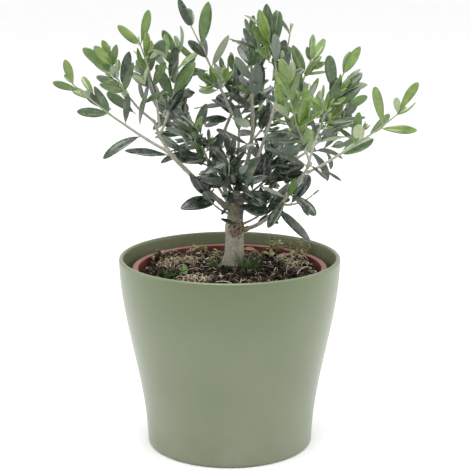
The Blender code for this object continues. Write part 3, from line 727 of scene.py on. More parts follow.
def leafShape(root, heading, upper, size, rng, slim=None, curl=1.0, green=None, bent=None):
    form = leafForm
    inDark = upper.dot(Vector(form["light"])) < form["shade"]  # most such leaves are turned over
    inDark = inDark and (rng.random() < form["righted"] if green is None else green)
    side = heading.cross(upper).normalized()
    half = size * (slim or rng.uniform(*form["slim"])) / 2
    belly, point = rng.uniform(*form["belly"]), rng.uniform(*form["point"])
    base = point * belly / (1 - belly)
    fullest = belly ** base * (1 - belly) ** point
    bend, sway = rng.gauss(*form["bend"]) * curl, rng.gauss(0, form["sway"]) * curl
    twist, fold = rng.gauss(0, form["twist"]) * curl, rng.uniform(*form["fold"])
    if bent is not None:  # a leaf that is placed by itself lies flatter
        bend, fold = bent, fold * form["bentFold"]
    wave, phase = rng.uniform(0, form["wave"]), rng.uniform(0, tau)
    stalkHalf, stalkDepth = (min(form[key], size * 0.022) for key in ("stalkHalf", "stalkDepth"))
    depth = min(form["depth"], size * 0.012)
    blade = [(1 - cos(pi * k / form["rows"])) / 2 for k in range(form["rows"] + 1)]
    rows = [(0, 0), (form["stalk"] * 0.6, 0), *[(form["stalk"] + (1 - form["stalk"]) * s, s) for s in blade]]
    points = []
    for row, (t, s) in enumerate(rows):
        width = half * s ** base * (1 - s) ** point / fullest + stalkHalf * (1 - s) ** 2 + 0.0001 * size
        thick = depth + (stalkDepth - depth) * (1 - s) ** 8
        centre = root + heading * (size * t) - upper * (bend * size * t * t) + side * (sway * size * t * t)
        rowSide = side * cos(twist * t) + upper * sin(twist * t)
        rowUp = (upper * cos(twist * t) - side * sin(twist * t) + heading * (2 * bend * t)).normalized()
        for aside in form["columns"]:
            out = abs(aside)
            turnedDown = form["roll"] * out ** 3 + (form["margin"] if out == 1 else 0)
            lift = width * (fold * out - turnedDown + wave * sin(phase + form["waves"] * s) * aside)
            at = centre + rowSide * (width * aside) + rowUp * lift
            if row in (0, len(rows) - 1) or out == 1:
                points.append(at)
                continue
            ribbed = form["ribDepth"] * (1 - s) * size / 0.025 if out < 0.2 else 0
            points += [at + rowUp * thick, at - rowUp * (thick + ribbed)]
    return points, leafFaces, leafMarks[inDark]


def addLeaf(heap, age, leaf):  # age from 0, old, to 1, fresh
    points, faces, marks = leaf
    tint = min(max(int(age * len(leafAges)), 0), len(leafAges) - 1)
    heap.add(points, faces, [mark and max(1, mark + 3 * tint) for mark in marks])


# Stems and twigs: grey and corky at the foot, green or a little ruddy toward the tip

stemLook = dict(step=1.3 * mm, sides=8, swell=0.30, swellReach=0.8 * mm, collar=0.35,
                collarReach=1.6 * mm, wobble=0.22 * mm, wobbleGrain=9 * mm, settling=5, footGirth=1.15,
                capReach=0.8, capGirth=0.35, woody=0.42, woodyEdge=0.05, ruddyShare=0.12)
stemTones = dict(
    stemCork=dict(colour=(150, 151, 139), grain=1.6, spread=0.2, roughness=0.85, depth=0.10, shine=0.25,
                  squeeze=(1, 1, 2.4)),
    stemGreen=dict(colour=(136, 145, 114), spread=0.14),
    stemRuddy=dict(colour=(130, 116, 98), spread=0.16))
bud = dict(sizes=(4.5, 8), open=0.16, lift=0.1, sunk=0.6, slim=0.2, curl=0.5)
fineTwig = dict(along=(0.2, 0.85), open=(28, 58), lift=0.15, reach=(5, 12), bow=0.06,
                girths=(0.85 * mm, 0.6 * mm), leaf=(8, 14), leafOpen=54, beyond=6, room=1.2 * mm)


def fineLimb(limb, step):  # the same limb with more points on the same curve
    count = len(limb.path) - 1
    start, end = limb.path[0], limb.path[-1]
    bow = (limb.path[1] - start.lerp(end, 1 / count)) / (4 * (1 / count) * (1 - 1 / count))
    steps = max(4, round((end - start).length / step))
    radii = [limb.at(k / steps)[2] for k in range(steps + 1)]
    return Limb(bowed(start, end, bow, steps), radii)


def drawStem(heap, limb, foot, joints, rng):  # joints: the shares at which leaves sit
    look = stemLook
    fine = fineLimb(limb, look["step"])
    length = (limb.path[-1] - limb.path[0]).length
    steps = len(fine.path) - 1
    shift = Vector((rng.uniform(-9, 9), rng.uniform(-9, 9), rng.uniform(-9, 9)))
    path, radii = [foot], [fine.radii[0] * look["footGirth"]]
    for k, (point, radius) in enumerate(zip(fine.path, fine.radii)):
        share = k / steps
        stray = noise.noise_vector(point / look["wobbleGrain"] + shift) * look["wobble"]
        near = min([abs(share - joint) * length for joint in joints] or [1])
        knob = look["swell"] * exp(-(near / look["swellReach"]) ** 2)
        collar = look["collar"] * exp(-share * length / look["collarReach"])
        path.append(point + stray * smoothstep(share * look["settling"]))
        radii.append(radius * (1 + knob + collar))
    path.append(path[-1] + (path[-1] - path[-2]).normalized() * radii[-1] * look["capReach"])
    radii.append(radii[-1] * look["capGirth"])
    tint = 2 if rng.random() < look["ruddyShare"] else 1
    points, faces = tube(path, radii, look["sides"])
    rings = [k // look["sides"] / len(path) for k in range(len(faces))]
    edge = look["woodyEdge"]
    marks = [0 if ring < look["woody"] + rng.uniform(-edge, edge) else tint for ring in rings]
    heap.add(points, faces, marks)
    return path[-1]


def addBud(heap, tip, along, age, rng):  # two slim leaves that are still pressed together
    aside = across(along, rng.uniform(0, 180))
    size = rng.uniform(*bud["sizes"]) * mm
    for sign in (1, -1):
        heading = (along + aside * (bud["open"] * sign) + up * bud["lift"]).normalized()
        upper = (heading.cross(aside).cross(heading) * -sign).normalized()
        root = tip - along * bud["sunk"] * mm
        addLeaf(heap, age, leafShape(root, heading, upper, size, rng, bud["slim"], bud["curl"]))


def inRoom(node, point, limbTree):  # a finer twig stays in its spray's own box and off the limbs
    low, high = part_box(node)
    inside = all(low[k] - fineTwig["room"] < point[k] < high[k] + fineTwig["room"] for k in range(3))
    return inside and limbTree.find_nearest(point)[3] > fineTwig["room"]


def growFineTwigs(name, plan, stem, leaves, twigs, limbTree, rng):
    form = fineTwig
    for _ in range(plan["fine"]):
        share = rng.uniform(max(plan["bare"], form["along"][0]), form["along"][1])
        point, along, _ = stem.at(share)
        aside = across(along, rng.uniform(0, 360))
        angle = radians(rng.uniform(*form["open"]))
        heading = (along * cos(angle) + aside * sin(angle) + up * form["lift"]).normalized()
        reach = rng.uniform(*form["reach"]) * mm
        tip = point + heading * reach
        if not inRoom(name, tip + heading * form["beyond"] * mm, limbTree):
            continue
        twig = Limb(bowed(point, tip, along * reach * -form["bow"], 2), tapered(*form["girths"], 2))
        drawStem(twigs, twig, point, [0.5, 1.0], rng)
        length, turn = rng.uniform(*form["leaf"]), rng.uniform(0, 180)
        for leaf in leafPlans(twig, 2, 0.5, length, turn, dict(plan, open=form["leafOpen"]), rng):
            addLeaf(leaves, plan["age"] + rng.gauss(0.12, 0.1), leafShape(*leaf[:4], rng))
        addBud(leaves, tip, heading, plan["age"] + 0.2, rng)


# Single leaves: what each grows on, how far along that or its root, its tip, the way its top faces, its
# age, its width to its length, and how far it bends
# the low ages of leaves deep in the crown are partly older leaves and partly painted shade
singleLeaves = table(
    "on at tip faces age slim bend",
    ("far_left_spray", 0.92, (-108.5, -33, 243.5), (0.2, -0.9, 0.5), 0.68, 0.28, 0.08),
    ("far_left_spray", 0.27, (-75.5, -31, 198), (-0.1, -0.5, 0.85), 0.30, 0.30, 0.38),
    ("far_left_spray", 0.44, (-63.5, -24, 236.5), (0.3, -0.8, 0.4), 0.30, 0.22, 0.05),
    ("left_spray", 0.90, (-89.5, -28, 265), (-0.2, -0.9, 0.4), 0.72, 0.30, 0.10),
    ("left_spray", 0.97, (-77, -28, 270), (0, -1, 0.2), 0.85, 0.26, 0.05),
    ("left_tall_spray", 1.0, (-70.5, -2, 276.5), (-0.2, -0.9, 0.4), 0.85, 0.30, 0.08),
    ("left_tall_spray", 1.0, (-50, 6, 285.5), (0.3, -1, 0.1), 0.95, 0.27, 0.05),
    ("top_left_spray", 0.78, (-14.5, 22, 290), (0.1, -1, 0.2), 0.62, 0.27, 0.06),
    ("crown_spray", 0.90, (23.5, -16, 291), (-0.2, -1, 0.2), 0.45, 0.32, 0.05),
    ("crown_spray", 0.85, (17, -24, 287.5), (0, -1, 0.1), 0.95, 0.27, 0.05),
    ("crown_spray", 0.60, (35, -14, 268.5), (0.3, -0.8, 0.4), 0.30, 0.42, 0.08),
    ("crown_spray", 0.75, (31, -8, 286), (0.1, -1, 0.1), 0.55, 0.28, 0.05),
    ("right_top_spray", 0.83, (40.5, 30, 261), (0, -1, 0.2), 0.70, 0.32, 0.06),
    ("right_top_spray", 0.98, (51, 39, 259.5), (0, -1, 0.2), 0.75, 0.36, 0.04),
    ("right_top_spray", 0.83, (65, 30, 244), (0.1, -0.6, 0.8), 0.90, 0.20, 0.05),
    ("right_upper_spray", 0.79, (61.5, -16, 259), (0, -1, 0.2), 0.50, 0.30, 0.06),
    ("far_right_spray", 0.84, (89, -43, 243), (-0.2, -1, 0.2), 0.80, 0.24, 0.05),
    ("far_right_spray", 1.0, (114.5, -38, 245.5), (-0.3, -0.9, 0.3), 1.00, 0.25, 0.06),
    ("far_right_spray", 1.0, (101.5, -45, 236.5), (0.2, 1, -0.1), 0.80, 0.42, -0.10),
    ("far_right_spray", 0.58, (79, -44, 220), (0.2, 1, -0.1), 0.80, 0.52, -0.10),
    ("far_right_spray", 0.12, (69.5, -34, 183), (0.4, -0.4, 0.8), 0.20, 0.22, 0.12),
    ("right_fork_bough", 1.0, (61, -32, 184), (0.4, -0.6, 0.7), 0.20, 0.30, 0.12),
    ("right_fork_bough", 0.1, (51.5, -36, 163), (0.3, -0.5, 0.8), 0.35, 0.36, 0.40),
    ("right_fork_bough", 0.1, (47.5, -12, 183.5), (-0.4, -0.8, 0.4), 0.15, 0.40, 0.06),
    ("right_fork_bough", 0.05, (42.5, -37, 183.5), (-0.4, -0.9, 0.2), 0.62, 0.36, 0.06),
    ("low_right_bough", 1.0, (21, -31, 177), (0.2, 0.6, -0.8), 0.30, 0.30, -0.12),
    ("low_right_bough", 0.97, (24, -36, 153.5), (-0.5, -0.8, 0.3), 0.35, 0.34, 0.08),
    ("low_right_bough", 0.3, (24.5, 1, 154), (0.1, -0.3, 0.9), 0.05, 0.30, 0.10),
    ("rear_right_bough", 0.9, (37.5, 16, 171.5), (-0.3, -1, 0.1), 0.15, 0.40, 0.05),
    ("front_right_spray", 0.86, (31, -66, 262.5), (0.1, -1, 0.1), 0.90, 0.28, 0.05),
    ("front_right_spray", 0.40, (45.5, -66, 245.5), (0, -1, 0.1), 0.95, 0.22, 0.05),
    ("front_right_spray", 0.14, (45.5, -46, 218.5), (0, -1, 0.2), 0.95, 0.60, 0.05),
    ("right_fork_bough", 0.95, (21, -50, 207), (0, -0.6, 0.8), 0.22, 0.22, 0.10),
    ("right_upper_spray", 0.77, (84.5, -8, 246.5), (-0.2, -0.9, 0.4), 0.50, 0.34, 0.05),
    ("right_upper_spray", 0.60, (83.5, -10, 238), (-0.2, -0.9, 0.4), 0.50, 0.24, 0.05),
    ("right_upper_spray", 0.45, (86, -14, 220), (0, -0.6, 0.8), 0.45, 0.20, 0.05),
    ("left_tall_spray", 0.75, (-41.5, 2, 267), (0, -1, 0.3), 0.50, 0.36, 0.06),
    ("left_inner_spray", 0.50, (-21, -6, 253.5), (0, -1, 0.3), 0.70, 0.26, 0.06),
    ("left_inner_spray", 0.95, (-43.5, 14, 272), (0, -1, 0.2), 0.75, 0.28, 0.06),
    ("top_left_bough", 0.95, (-16.5, 8, 216), (0, -0.8, 0.6), 0.15, 0.34, 0.08),
    ("top_left_spray", 0.55, (-0.5, 16, 268.5), (0.1, 1, -0.1), 0.55, 0.20, -0.15),
    ("top_left_spray", 0.35, (-21, 12, 247.5), (-0.3, -0.5, 0.8), 0.30, 0.24, 0.08),
    ("low_right_bough", 0.78, (52, -22, 142.5), (0.3, -0.7, 0.6), 0.22, 0.28, 0.10),
    ("left_bough", 0.96, (-65, -22, 199), (0.1, -0.3, 0.9), 0.10, 0.30, 0.14),
    ("trunk", 0.86, (24.5, -14, 159), (0.1, -0.9, 0.5), 0.08, 0.36, 0.10),
    ("trunk", (5.6, -2.2, 147.2), (-5.6, -8, 153), (0.1, -0.55, 0.8), 0.05, 0.30, 0.10),
    ("trunk", (-1.2, -1.5, 160), (-5.2, -6, 155.5), (-0.3, -0.9, 0.4), 0.30, 0.30, 0.10),
    ("trunk", (7.2, -1, 150.5), (7.8, 1, 160.5), (0.2, -1, 0.1), 0.10, 0.30, 0.05),
    ("leader_bough", 0.62, (-8, -12, 211), (0.2, -0.5, 0.85), 0.15, 0.22, 0.10),
    ("leader_bough", 0.50, (-2, -16, 202), (-0.2, -0.5, 0.85), 0.05, 0.36, 0.08),
    ("top_left_bough", 0.45, (-10, 8, 203.5), (-0.2, -1, 0.2), 0.15, 0.34, 0.06),
    ("leader_spray", 0.14, (-1, 4, 224), (0, -0.5, 0.85), 0.22, 0.24, 0.08),
    ("top_left_spray", 0.06, (-11, 4, 228), (-0.1, -0.6, 0.8), 0.15, 0.34, 0.08),
    ("top_left_bough", 0.98, (13, 0, 212.5), (0, 1, -0.3), 0.40, 0.28, -0.08),
    ("inner_front_spray", 0.9, (-15, -30, 187), (0.1, 0.8, -0.6), 0.35, 0.18, -0.08),
    ("mid_left_spray", 0.34, (-23.5, -20, 182), (0, -0.4, 0.9), 0.10, 0.20, 0.06),
    ("mid_left_spray", 0.48, (-20, -14, 191.5), (0, -0.5, 0.8), 0.12, 0.30, 0.06),
    ("mid_left_spray", 0.97, (-14, -4, 227), (-0.1, -0.9, 0.3), 0.22, 0.27, 0.06),
    ("mid_left_spray", 1.0, (-17, -12, 220.5), (-0.1, -0.9, 0.3), 0.92, 0.30, 0.06),
    ("left_bough", 0.16, (-26, -12, 161.5), (-0.1, -0.75, 0.65), 0.14, 0.48, 0.55),
    ("far_right_spray", 0.80, (114.5, -46, 216.5), (0, -0.9, 0.5), 0.85, 0.24, 0.04),
)


singleLeaf = dict(sunk=0.8, curl=0.5)


def addSingleLeaf(heap, limb, plan, rng):  # its root is on the limb, on the side of its tip
    tip, upper, bend = Vector(plan["tip"]) * mm, Vector(plan["faces"]), plan["bend"]
    if isinstance(plan["at"], tuple):
        root = Vector(plan["at"]) * mm
    else:
        centre, along, radius = limb.at(plan["at"])
        root = centre + square(tip - centre, along) * radius * singleLeaf["sunk"]
    upper = square(upper, (tip - root).normalized())
    aim = tip + upper * bend * (tip - root).length  # it sets out that much higher, and bends down to its tip
    heading = (aim - root).normalized()
    upper, size = square(upper, heading), (aim - root).length
    leaf = leafShape(root, heading, upper, size, rng, plan["slim"], singleLeaf["curl"], False, bend)
    addLeaf(heap, plan["age"], leaf)


crownParting = dict(left=-22, right=30)  # how far east the crown's middle starts and ends, in mm


def crownSide(plan):  # the piece of leaves that holds what has its tip there
    east = plan["tip"][0]
    return "left" if east < crownParting["left"] else "right" if east > crownParting["right"] else "middle"


def growFoliage(limbs, stems, limbTree):
    noise.seed_set(seeds["stray"])  # noise_vector would give other stems in every run
    finishes = leafFinishes()
    heaps = {side: Heap(*finishes) for side in ("left", "middle", "right")}
    twigs = Heap(*mottles(dict(grain=1.2, roughness=0.6, depth=0.04), stemTones))
    count = 0
    for number, (name, plan) in enumerate(sprays.items()):
        rng = Random(seeds["sprays"] + number)
        stem, leaves = stems[name], heaps[crownSide(plan)]
        tree = treeOf([point.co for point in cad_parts[name].data.vertices])
        own = [plan[key] for key in ("pairs", "bare", "leaf", "turn")]
        onStem = leafPlans(stem, *own, plan, Random(plan["seed"]))
        branches = [(stem, limbs[plan["on"]].at(plan["at"])[0], onStem)]
        branches += [(twig, twig.path[0], onTwig) for twig, onTwig in twigPlans(stem, plan)]
        held = [(limb, foot, [leaf for leaf in grown if inModel(tree, *leaf[:4])])
                for limb, foot, grown in branches]
        for branch, (limb, foot, grown) in enumerate([held[0], *[twig for twig in held[1:] if twig[2]]]):
            tip = drawStem(twigs, limb, foot, sorted({leaf[4] for leaf in grown}), rng)
            for k, leaf in enumerate(grown):
                age = plan["age"] + plan["ripening"] * (leaf[4] - 0.8) + rng.gauss(0, 0.10)
                age, green = plan["ages"].get((branch, k), age), plan["green"].get((branch, k))
                shape = leafShape(*leaf[:4], rng, None, 1.5 - 0.8 * age, green)
                if k not in plan["shed"].get(branch, ()):
                    addLeaf(leaves, age, shape)
                    count += 1
            addBud(leaves, tip, limb.at(1)[1], plan["age"] + 0.15, rng)
        growFineTwigs(name, plan, stem, leaves, twigs, limbTree, rng)
    rng = Random(seeds["singleLeaves"])
    for plan in singleLeaves:
        addSingleLeaf(heaps[crownSide(plan)], {**limbs, **stems}[plan["on"]], plan, rng)
    for side, heap in heaps.items():
        nodes = [name for name, plan in sprays.items() if side == crownSide(plan)]
        heap.become(f"leaves_{side}", "foliage", *nodes, crease=70)
        print(side, "leaves", len(heap.faces), "faces")
    twigs.become("twigs", "bark")
    print("foliage grown,", count, "leaves of the model, twigs", len(twigs.faces), "faces")


# Bark: trunk and boughs run into one skin, with its wrinkles, rings and the old wound in its relief

barkForm = dict(voxel=0.36 * mm, smoothing=4, slender=0.9, collar=0.45, collarReach=3.0 * mm,
                underSoil=5 * mm, underGirth=1.1, stub=2.6 * mm, stubGirths=(1.15, 1.1, 1.0, 0.8),
                stubSides=12, sides=20, step=1.6 * mm, stout=1.06, footing=0.12, footingReach=0.06, aside=0.9 * mm)
barkRelief = dict(wrinkle=0.22 * mm, wrinkleGrain=(2.6, 0.55), rib=0.75 * mm, ribGrain=(2.8, 14),
                  tearGrain=(1.4, 0.8), bough=0.13 * mm, boughGrain=(0.9, 1.6), ring=0.20 * mm,
                  ringEvery=11.5, ringReach=0.7, fold=0.22 * mm, foldGrain=(3.0, 0.62), foldReach=9.0)
wound = dict(centre=(4.4, -0.5, 144.0), radius=7.2, depth=0.8)
bast = dict(count=90, length=(1.8, 4.4), girth=(0.14, 0.34), lift=0.02, slope=(38, 16), steps=7, sides=6,
            reach=0.85, squat=0.8, before=-40, behind=4 * mm, wander=0.12, shortest=0.05 * mm, thinEnd=0.35,
            tanShare=0.55)
bastTones = dict(bastTan=dict(colour=(158, 140, 118), spread=0.25, roughness=0.85),
                 bastBrown=dict(colour=(94, 78, 62), spread=0.3, roughness=0.88))
oliveBark = dict(grey=((0.36, (128, 123, 108)), (0.5, (156, 151, 135)), (0.64, (180, 176, 160))),
                 outer=(141, 143, 130), outerReach=110, crack=(96, 86, 70), moss=(92, 100, 66),
                 # the dark brown near the top of the trunk is partly the bark's own browning and partly painted
                 # shade from the crown above
                 mossRise=(126.5, 121), browningAndPaintedShade=(82, 78, 60), browningAndPaintedShadePlace=((3.0, 2.0, 160.0), 15.0),
                 scar=((0.38, (70, 58, 46)), (0.62, (142, 122, 100))), red=(140, 95, 76),
                 redPlace=((2.6, 1.0, 158.0), 3.6))


def barkFinish():
    look, finish = oliveBark, Finish("oliveBark", {"Specular IOR Level": 0.22})
    blotch, fine = finish.cloud(6.5, 4), finish.cloud(0.7, 3)
    wrinkles = finish.cloud(2.4, 5, finish.squeezed(1, 1, 4.2))
    grey = finish.ramp(blotch * 0.6 + fine * 0.4, *look["grey"])
    outward = 1 - finish.near(trunkPlan["foot"], look["outerReach"])
    greener = finish.mix(outward * 0.75, grey, look["outer"])
    cracked = finish.mix(finish.mask(wrinkles, 0.46, 0.36) * 0.34, greener, look["crack"])
    # partly painted shade: the top of the trunk, under the crown, darker and browner in blotches
    browningAndPaintedShade = finish.near(*look["browningAndPaintedShadePlace"]) * finish.mask(blotch, 0.3, 0.55)
    browner = finish.mix(browningAndPaintedShade * 0.85, cracked, look["browningAndPaintedShade"])
    moss = finish.mask(finish.rise() + blotch * 9, *look["mossRise"]) * finish.mask(fine, 0.4, 0.6) * 0.22
    mossy = finish.mix(moss, browner, look["moss"])
    ragged = finish.cloud(1.8, 4) * 0.9 - 0.15
    scar = finish.near(wound["centre"], wound["radius"]) * ragged * 2.0
    scarred = finish.mix(finish.mask(scar, 0.22, 0.5), mossy, finish.ramp(fine, *look["scar"]))
    red = finish.near(*look["redPlace"]) * ragged * 1.8
    finish.set("Base Color", finish.mix(finish.mask(red, 0.3, 0.7) * 0.75, scarred, look["red"]))
    finish.set("Roughness", fine * 0.15 + 0.78)
    finish.relief(wrinkles * 0.6 + fine * 0.4, 0.22)
    return finish.material


def barkTubes(limbs, stems):  # overlapping tubes of every limb, and of the first stretch of every stem
    form = barkForm
    heap = Heap()
    for name, limb in limbs.items():
        fine = fineLimb(limb, form["step"])
        path, radii = list(fine.path), list(fine.radii)
        if name == "trunk":
            shares = [k / (len(path) - 1) for k in range(len(path))]
            footing = [1 + form["footing"] * exp(-share / form["footingReach"]) for share in shares]
            radii = [trunkRadius(share) * form["stout"] * more for share, more in zip(shares, footing)]
            leans = [2 * smoothstep(share * 4) - smoothstep(share * 1.4) for share in shares]
            path = [point + Vector((form["aside"] * lean, 0, 0)) for point, lean in zip(path, leans)]
            path.insert(0, path[0] - up * form["underSoil"])
            radii.insert(0, radii[0] * form["underGirth"])
        else:
            radii = [radius * (form["slender"] + form["collar"] * exp(-length / form["collarReach"]))
                     for radius, length in zip(radii, gone(path))]
            path.insert(0, limbs[boughs[name]["on"]].at(boughs[name]["at"])[0])
            radii.insert(0, radii[0])
        heap.add(*tube(path, radii, form["sides"]))
    for name, stem in stems.items():
        inner = limbs[sprays[name]["on"]].at(sprays[name]["at"])[0]
        out = stem.at(form["stub"] / (stem.path[-1] - stem.path[0]).length)[0]
        path = [inner, stem.path[0], stem.path[0].lerp(out, 0.5), out]
        heap.add(*tube(path, [stem.radii[0] * share for share in form["stubGirths"]], form["stubSides"]))
    return heap


def applied(mesh, *modifiers):  # the mesh as those modifiers leave it
    holder = added("holder", mesh)
    for kind, settings in modifiers:
        modifier = holder.modifiers.new(kind, kind)
        for name, value in settings.items():
            setattr(modifier, name, value)
    graph = bpy.context.evaluated_depsgraph_get()
    made = bpy.data.meshes.new_from_object(holder.evaluated_get(graph))
    bpy.data.objects.remove(holder)
    return made


def barkHeight(kind, aside, other, along, point):  # how far the bark stands proud there, in metres
    relief = barkRelief

    def grain(name, shift=0):  # the place, scaled by the grain across the limb and the one along it
        wide, tall = relief[name]
        return Vector((aside / wide + shift, other / wide, along / tall))

    if kind == "trunk":
        wrinkle = noise.fractal(grain("wrinkleGrain"), 0.9, 2.1, 3)
        rib = noise.noise(grain("ribGrain", 7))
        hurt = smoothstep(1 - (point - Vector(wound["centre"]) * mm).length / (wound["radius"] * mm))
        torn = noise.fractal(grain("tearGrain"), 0.7, 2.2, 4)
        burl = hurt * (0.5 + torn) * wound["depth"] * mm
        foot = smoothstep(1 - along / 12)
        return relief["wrinkle"] * wrinkle * (1 - 0.5 * foot) + relief["rib"] * rib * (0.4 + foot) + burl
    rough = noise.fractal(grain("boughGrain"), 0.9, 2.1, 3)
    ring = exp(-((along % relief["ringEvery"] - relief["ringEvery"] / 2) / relief["ringReach"]) ** 2)
    fold = noise.noise(grain("foldGrain")) * exp(-along / relief["foldReach"])
    return relief["bough"] * rough + relief["ring"] * ring + relief["fold"] * fold


def makeBark(limbs, stems):
    skin = applied(barkTubes(limbs, stems).mesh("limbs"),
                   ("REMESH", dict(mode="VOXEL", voxel_size=barkForm["voxel"])),
                   ("SMOOTH", dict(factor=0.5, iterations=barkForm["smoothing"])))
    spots = []
    for name, limb in limbs.items():
        path = fineLimb(limb, 0.6 * mm).path
        for point, (_, side, other), length in zip(path, frames(path), gone(path)):
            spots.append((point, side, other, length / mm, name))
    tree = treeOf([spot[0] for spot in spots])
    normals = [point.normal.copy() for point in skin.vertices]
    for point, normal in zip(skin.vertices, normals):
        centre, side, other, along, name = spots[tree.find(point.co)[1]]
        away = point.co - centre
        point.co += normal * barkHeight(name, away.dot(side) / mm, away.dot(other) / mm, along, point.co)
    skin.materials.clear()
    skin.materials.append(barkFinish())
    skin.shade_smooth()
    place("bark", skin, "bark", "trunk", *boughs)
    print("bark grown,", len(skin.polygons), "faces")
    corners = [point.co for point in skin.vertices]
    return BVHTree.FromPolygons(corners, [face.vertices[:] for face in skin.polygons])


def makeWound(barkTree, rng):  # torn bast fibres, which cross each other over the wound
    heap = Heap(*mottles(dict(grain=0.8, depth=0.05, shine=0.2), bastTones))
    steps, lift = bast["steps"], bast["lift"] * mm
    for _ in range(bast["count"]):
        east, high = scattered(wound["radius"] * bast["reach"], rng)
        x, _, z = wound["centre"]
        start = Vector((x + east, bast["before"], z + high * bast["squat"])) * mm
        point, normal, _, _ = barkTree.ray_cast(start, -front)
        if not point or point.y > bast["behind"]:
            continue
        slope = radians(rng.gauss(*bast["slope"])) * rng.choice((-1, 1))
        course = Vector((cos(slope), 0, sin(slope)))
        path = [point + normal * lift]
        for _ in range(steps):
            course = (course - normal * course.dot(normal) + up * rng.gauss(0, bast["wander"])).normalized()
            step = course * rng.uniform(*bast["length"]) * mm / steps
            point, normal, _, _ = barkTree.find_nearest(point + step)
            path.append(point + normal * lift)
        if min((b - a).length for a, b in zip(path, path[1:])) < bast["shortest"]:
            continue
        girth = rng.uniform(*bast["girth"]) * mm
        girths = [girth * (bast["thinEnd"] + sin(pi * (k + 0.5) / len(path))) for k in range(len(path))]
        heap.add(*tube(path, girths, bast["sides"]), 0 if rng.random() < bast["tanShare"] else 1)
    heap.become("woundFibres", "bark")
    print("wound laid with fibres,", len(heap.faces), "faces")


# Compost: dark, lumpy and fibrous, a little drawn off the pot's wall and heaped round the trunk

soil = dict(edgeZ=115.2, topZ=117.2, plateau=16.0, mound=2.2, moundReach=10.0, around=440, rings=96,
            lumps=((1.35, 8.0), (0.85, 3.0), (0.30, 1.1)), shrink=1.0, shrinkReach=5,
            tones=((0.36, (10, 9, 8)), (0.52, (24, 20, 18)), (0.63, (48, 39, 33)), (0.74, (92, 80, 67))))
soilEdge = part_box("soil")[1].x / mm


def soilHeight(x, y):  # all in metres
    x, y = x / mm, y / mm
    out = hypot(x, y)
    share = min(max((soilEdge - out) / (soilEdge - soil["plateau"]), 0), 1)
    height = soil["edgeZ"] + (soil["topZ"] - soil["edgeZ"]) * sin(share * pi / 2)
    toTrunk = hypot(x - trunkPlan["foot"][0], y - trunkPlan["foot"][1])
    height += soil["mound"] * exp(-(toTrunk / soil["moundReach"]) ** 2)
    height -= soil["shrink"] * smoothstep((out - soilEdge + soil["shrinkReach"]) / soil["shrinkReach"])
    for rise, grain in soil["lumps"]:
        height += rise * noise.fractal(Vector((x / grain, y / grain, rise)), 0.9, 2.0, 2)
    return height * mm


def makeSoil():
    finish = Finish("compost", {"Specular IOR Level": 0.12})
    coarse, fine = finish.cloud(4.5, 6), finish.cloud(0.7, 4)
    finish.set("Base Color", finish.ramp(coarse * 0.55 + fine * 0.45, *soil["tones"]))
    finish.set("Roughness", fine * 0.1 + 0.86)
    finish.relief(fine, 0.5)
    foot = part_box("soil")[0].z / mm
    top = [(soilEdge * (1 - k / soil["rings"]), soil["edgeZ"]) for k in range(soil["rings"])]
    outline = [(0, foot), (potInside(foot) - 0.3, foot), *top, (0, soil["edgeZ"])]
    points, faces = turned(outline, soil["around"])
    for point in points:
        if point.z > foot * mm + 0.02:
            point.z = soilHeight(point.x, point.y)
    heap = Heap(finish.material)
    heap.add(points, faces)
    heap.become("compost", "soil", "soil")
    print("compost laid")


# What lies on the compost: crumbs, chips, straws, root tangles, litter and weeds. Places are (x, y) in mm

crumbs = dict(count=4200, sizes=(0.25, 2.1), shares=(46, 24, 12, 10, 8), coarse=0.75, reach=57.0,
              clods=(0.5, 1.7), clodShares=(50, 25, 15, 10), stoneSizes=(1.3, 2.0),
              stones=((52, 22), (2, -17), (-6, -22), (30, -24), (-40, 30)),
              damp=((14, -28, 32, 17), (27, -2, 13, 17)))  # dark patches: place and half widths
crumbTones = dict(crumbBlack=dict(colour=(25, 21, 19), spread=0.5, roughness=0.92),
                  crumbBrown=dict(colour=(54, 42, 34), spread=0.4), crumbPurple=dict(colour=(72, 60, 60)),
                  crumbTan=dict(colour=(122, 106, 86), grain=0.8),
                  crumbPale=dict(colour=(166, 156, 138), grain=0.8, spread=0.2, roughness=0.85, depth=0.2))
tangles = table(  # mats of dry root, flakes and crumbs, with their commonest tone
    "at reach rise strands flakes clods tone", ((-33, 16), 12.0, 4.6, 210, 150, 60, 0),
    ((-50, 30), 8.0, 8.0, 80, 90, 110, 1), ((-40, 38), 8.0, 4.0, 40, 60, 70, 1),
    ((-18, 46), 7.0, 3.0, 30, 50, 50, 1), ((42, 26), 9.5, 5.2, 150, 130, 50, 0),
    ((47, 8), 8.5, 3.6, 60, 70, 50, 0), ((-22, -27), 8.5, 2.8, 110, 80, 30, 0),
    ((20, -34), 8.0, 1.2, 16, 8, 14, 1), ((22, 42), 8.0, 2.6, 50, 50, 60, 1))
flake = dict(lengths=(1.2, 4.2), halves=(0.3, 0.95), flat=0.22, girths=(0.4, 0.9, 1.0, 0.75, 0.25),
             shares=(4, 17, 10, 38, 24, 7))
loose = dict(count=110, reach=56, lengths=(4, 17), radii=(0.13, 0.32), shares=(4, 3, 3))
hairs = dict(count=420, reach=56, lengths=(2, 8), radii=(0.07, 0.15), shares=(3, 7))
strawTones = dict(rootTan=dict(colour=(180, 165, 140), spread=0.3, roughness=0.85),
                  rootBrown=dict(colour=(116, 97, 80), spread=0.35, roughness=0.88),
                  strawPale=dict(colour=(196, 188, 166), grain=1.0, spread=0.15, depth=0.05, shine=0.3))
arches = table(  # straws that stand free of the compost in the middle
    "start end rise radius",
    ((43, -11), (55, 4), 4.5, 0.32), ((-18, 21), (-9, 38), 1.6, 0.55), ((23, 40), (28, 47), 2.0, 0.30),
    ((20, 44), (26, 38), 2.4, 0.26), ((37, -7), (39, -3), 5.5, 0.26), ((-10, -34), (4, -40), 2.2, 0.28))
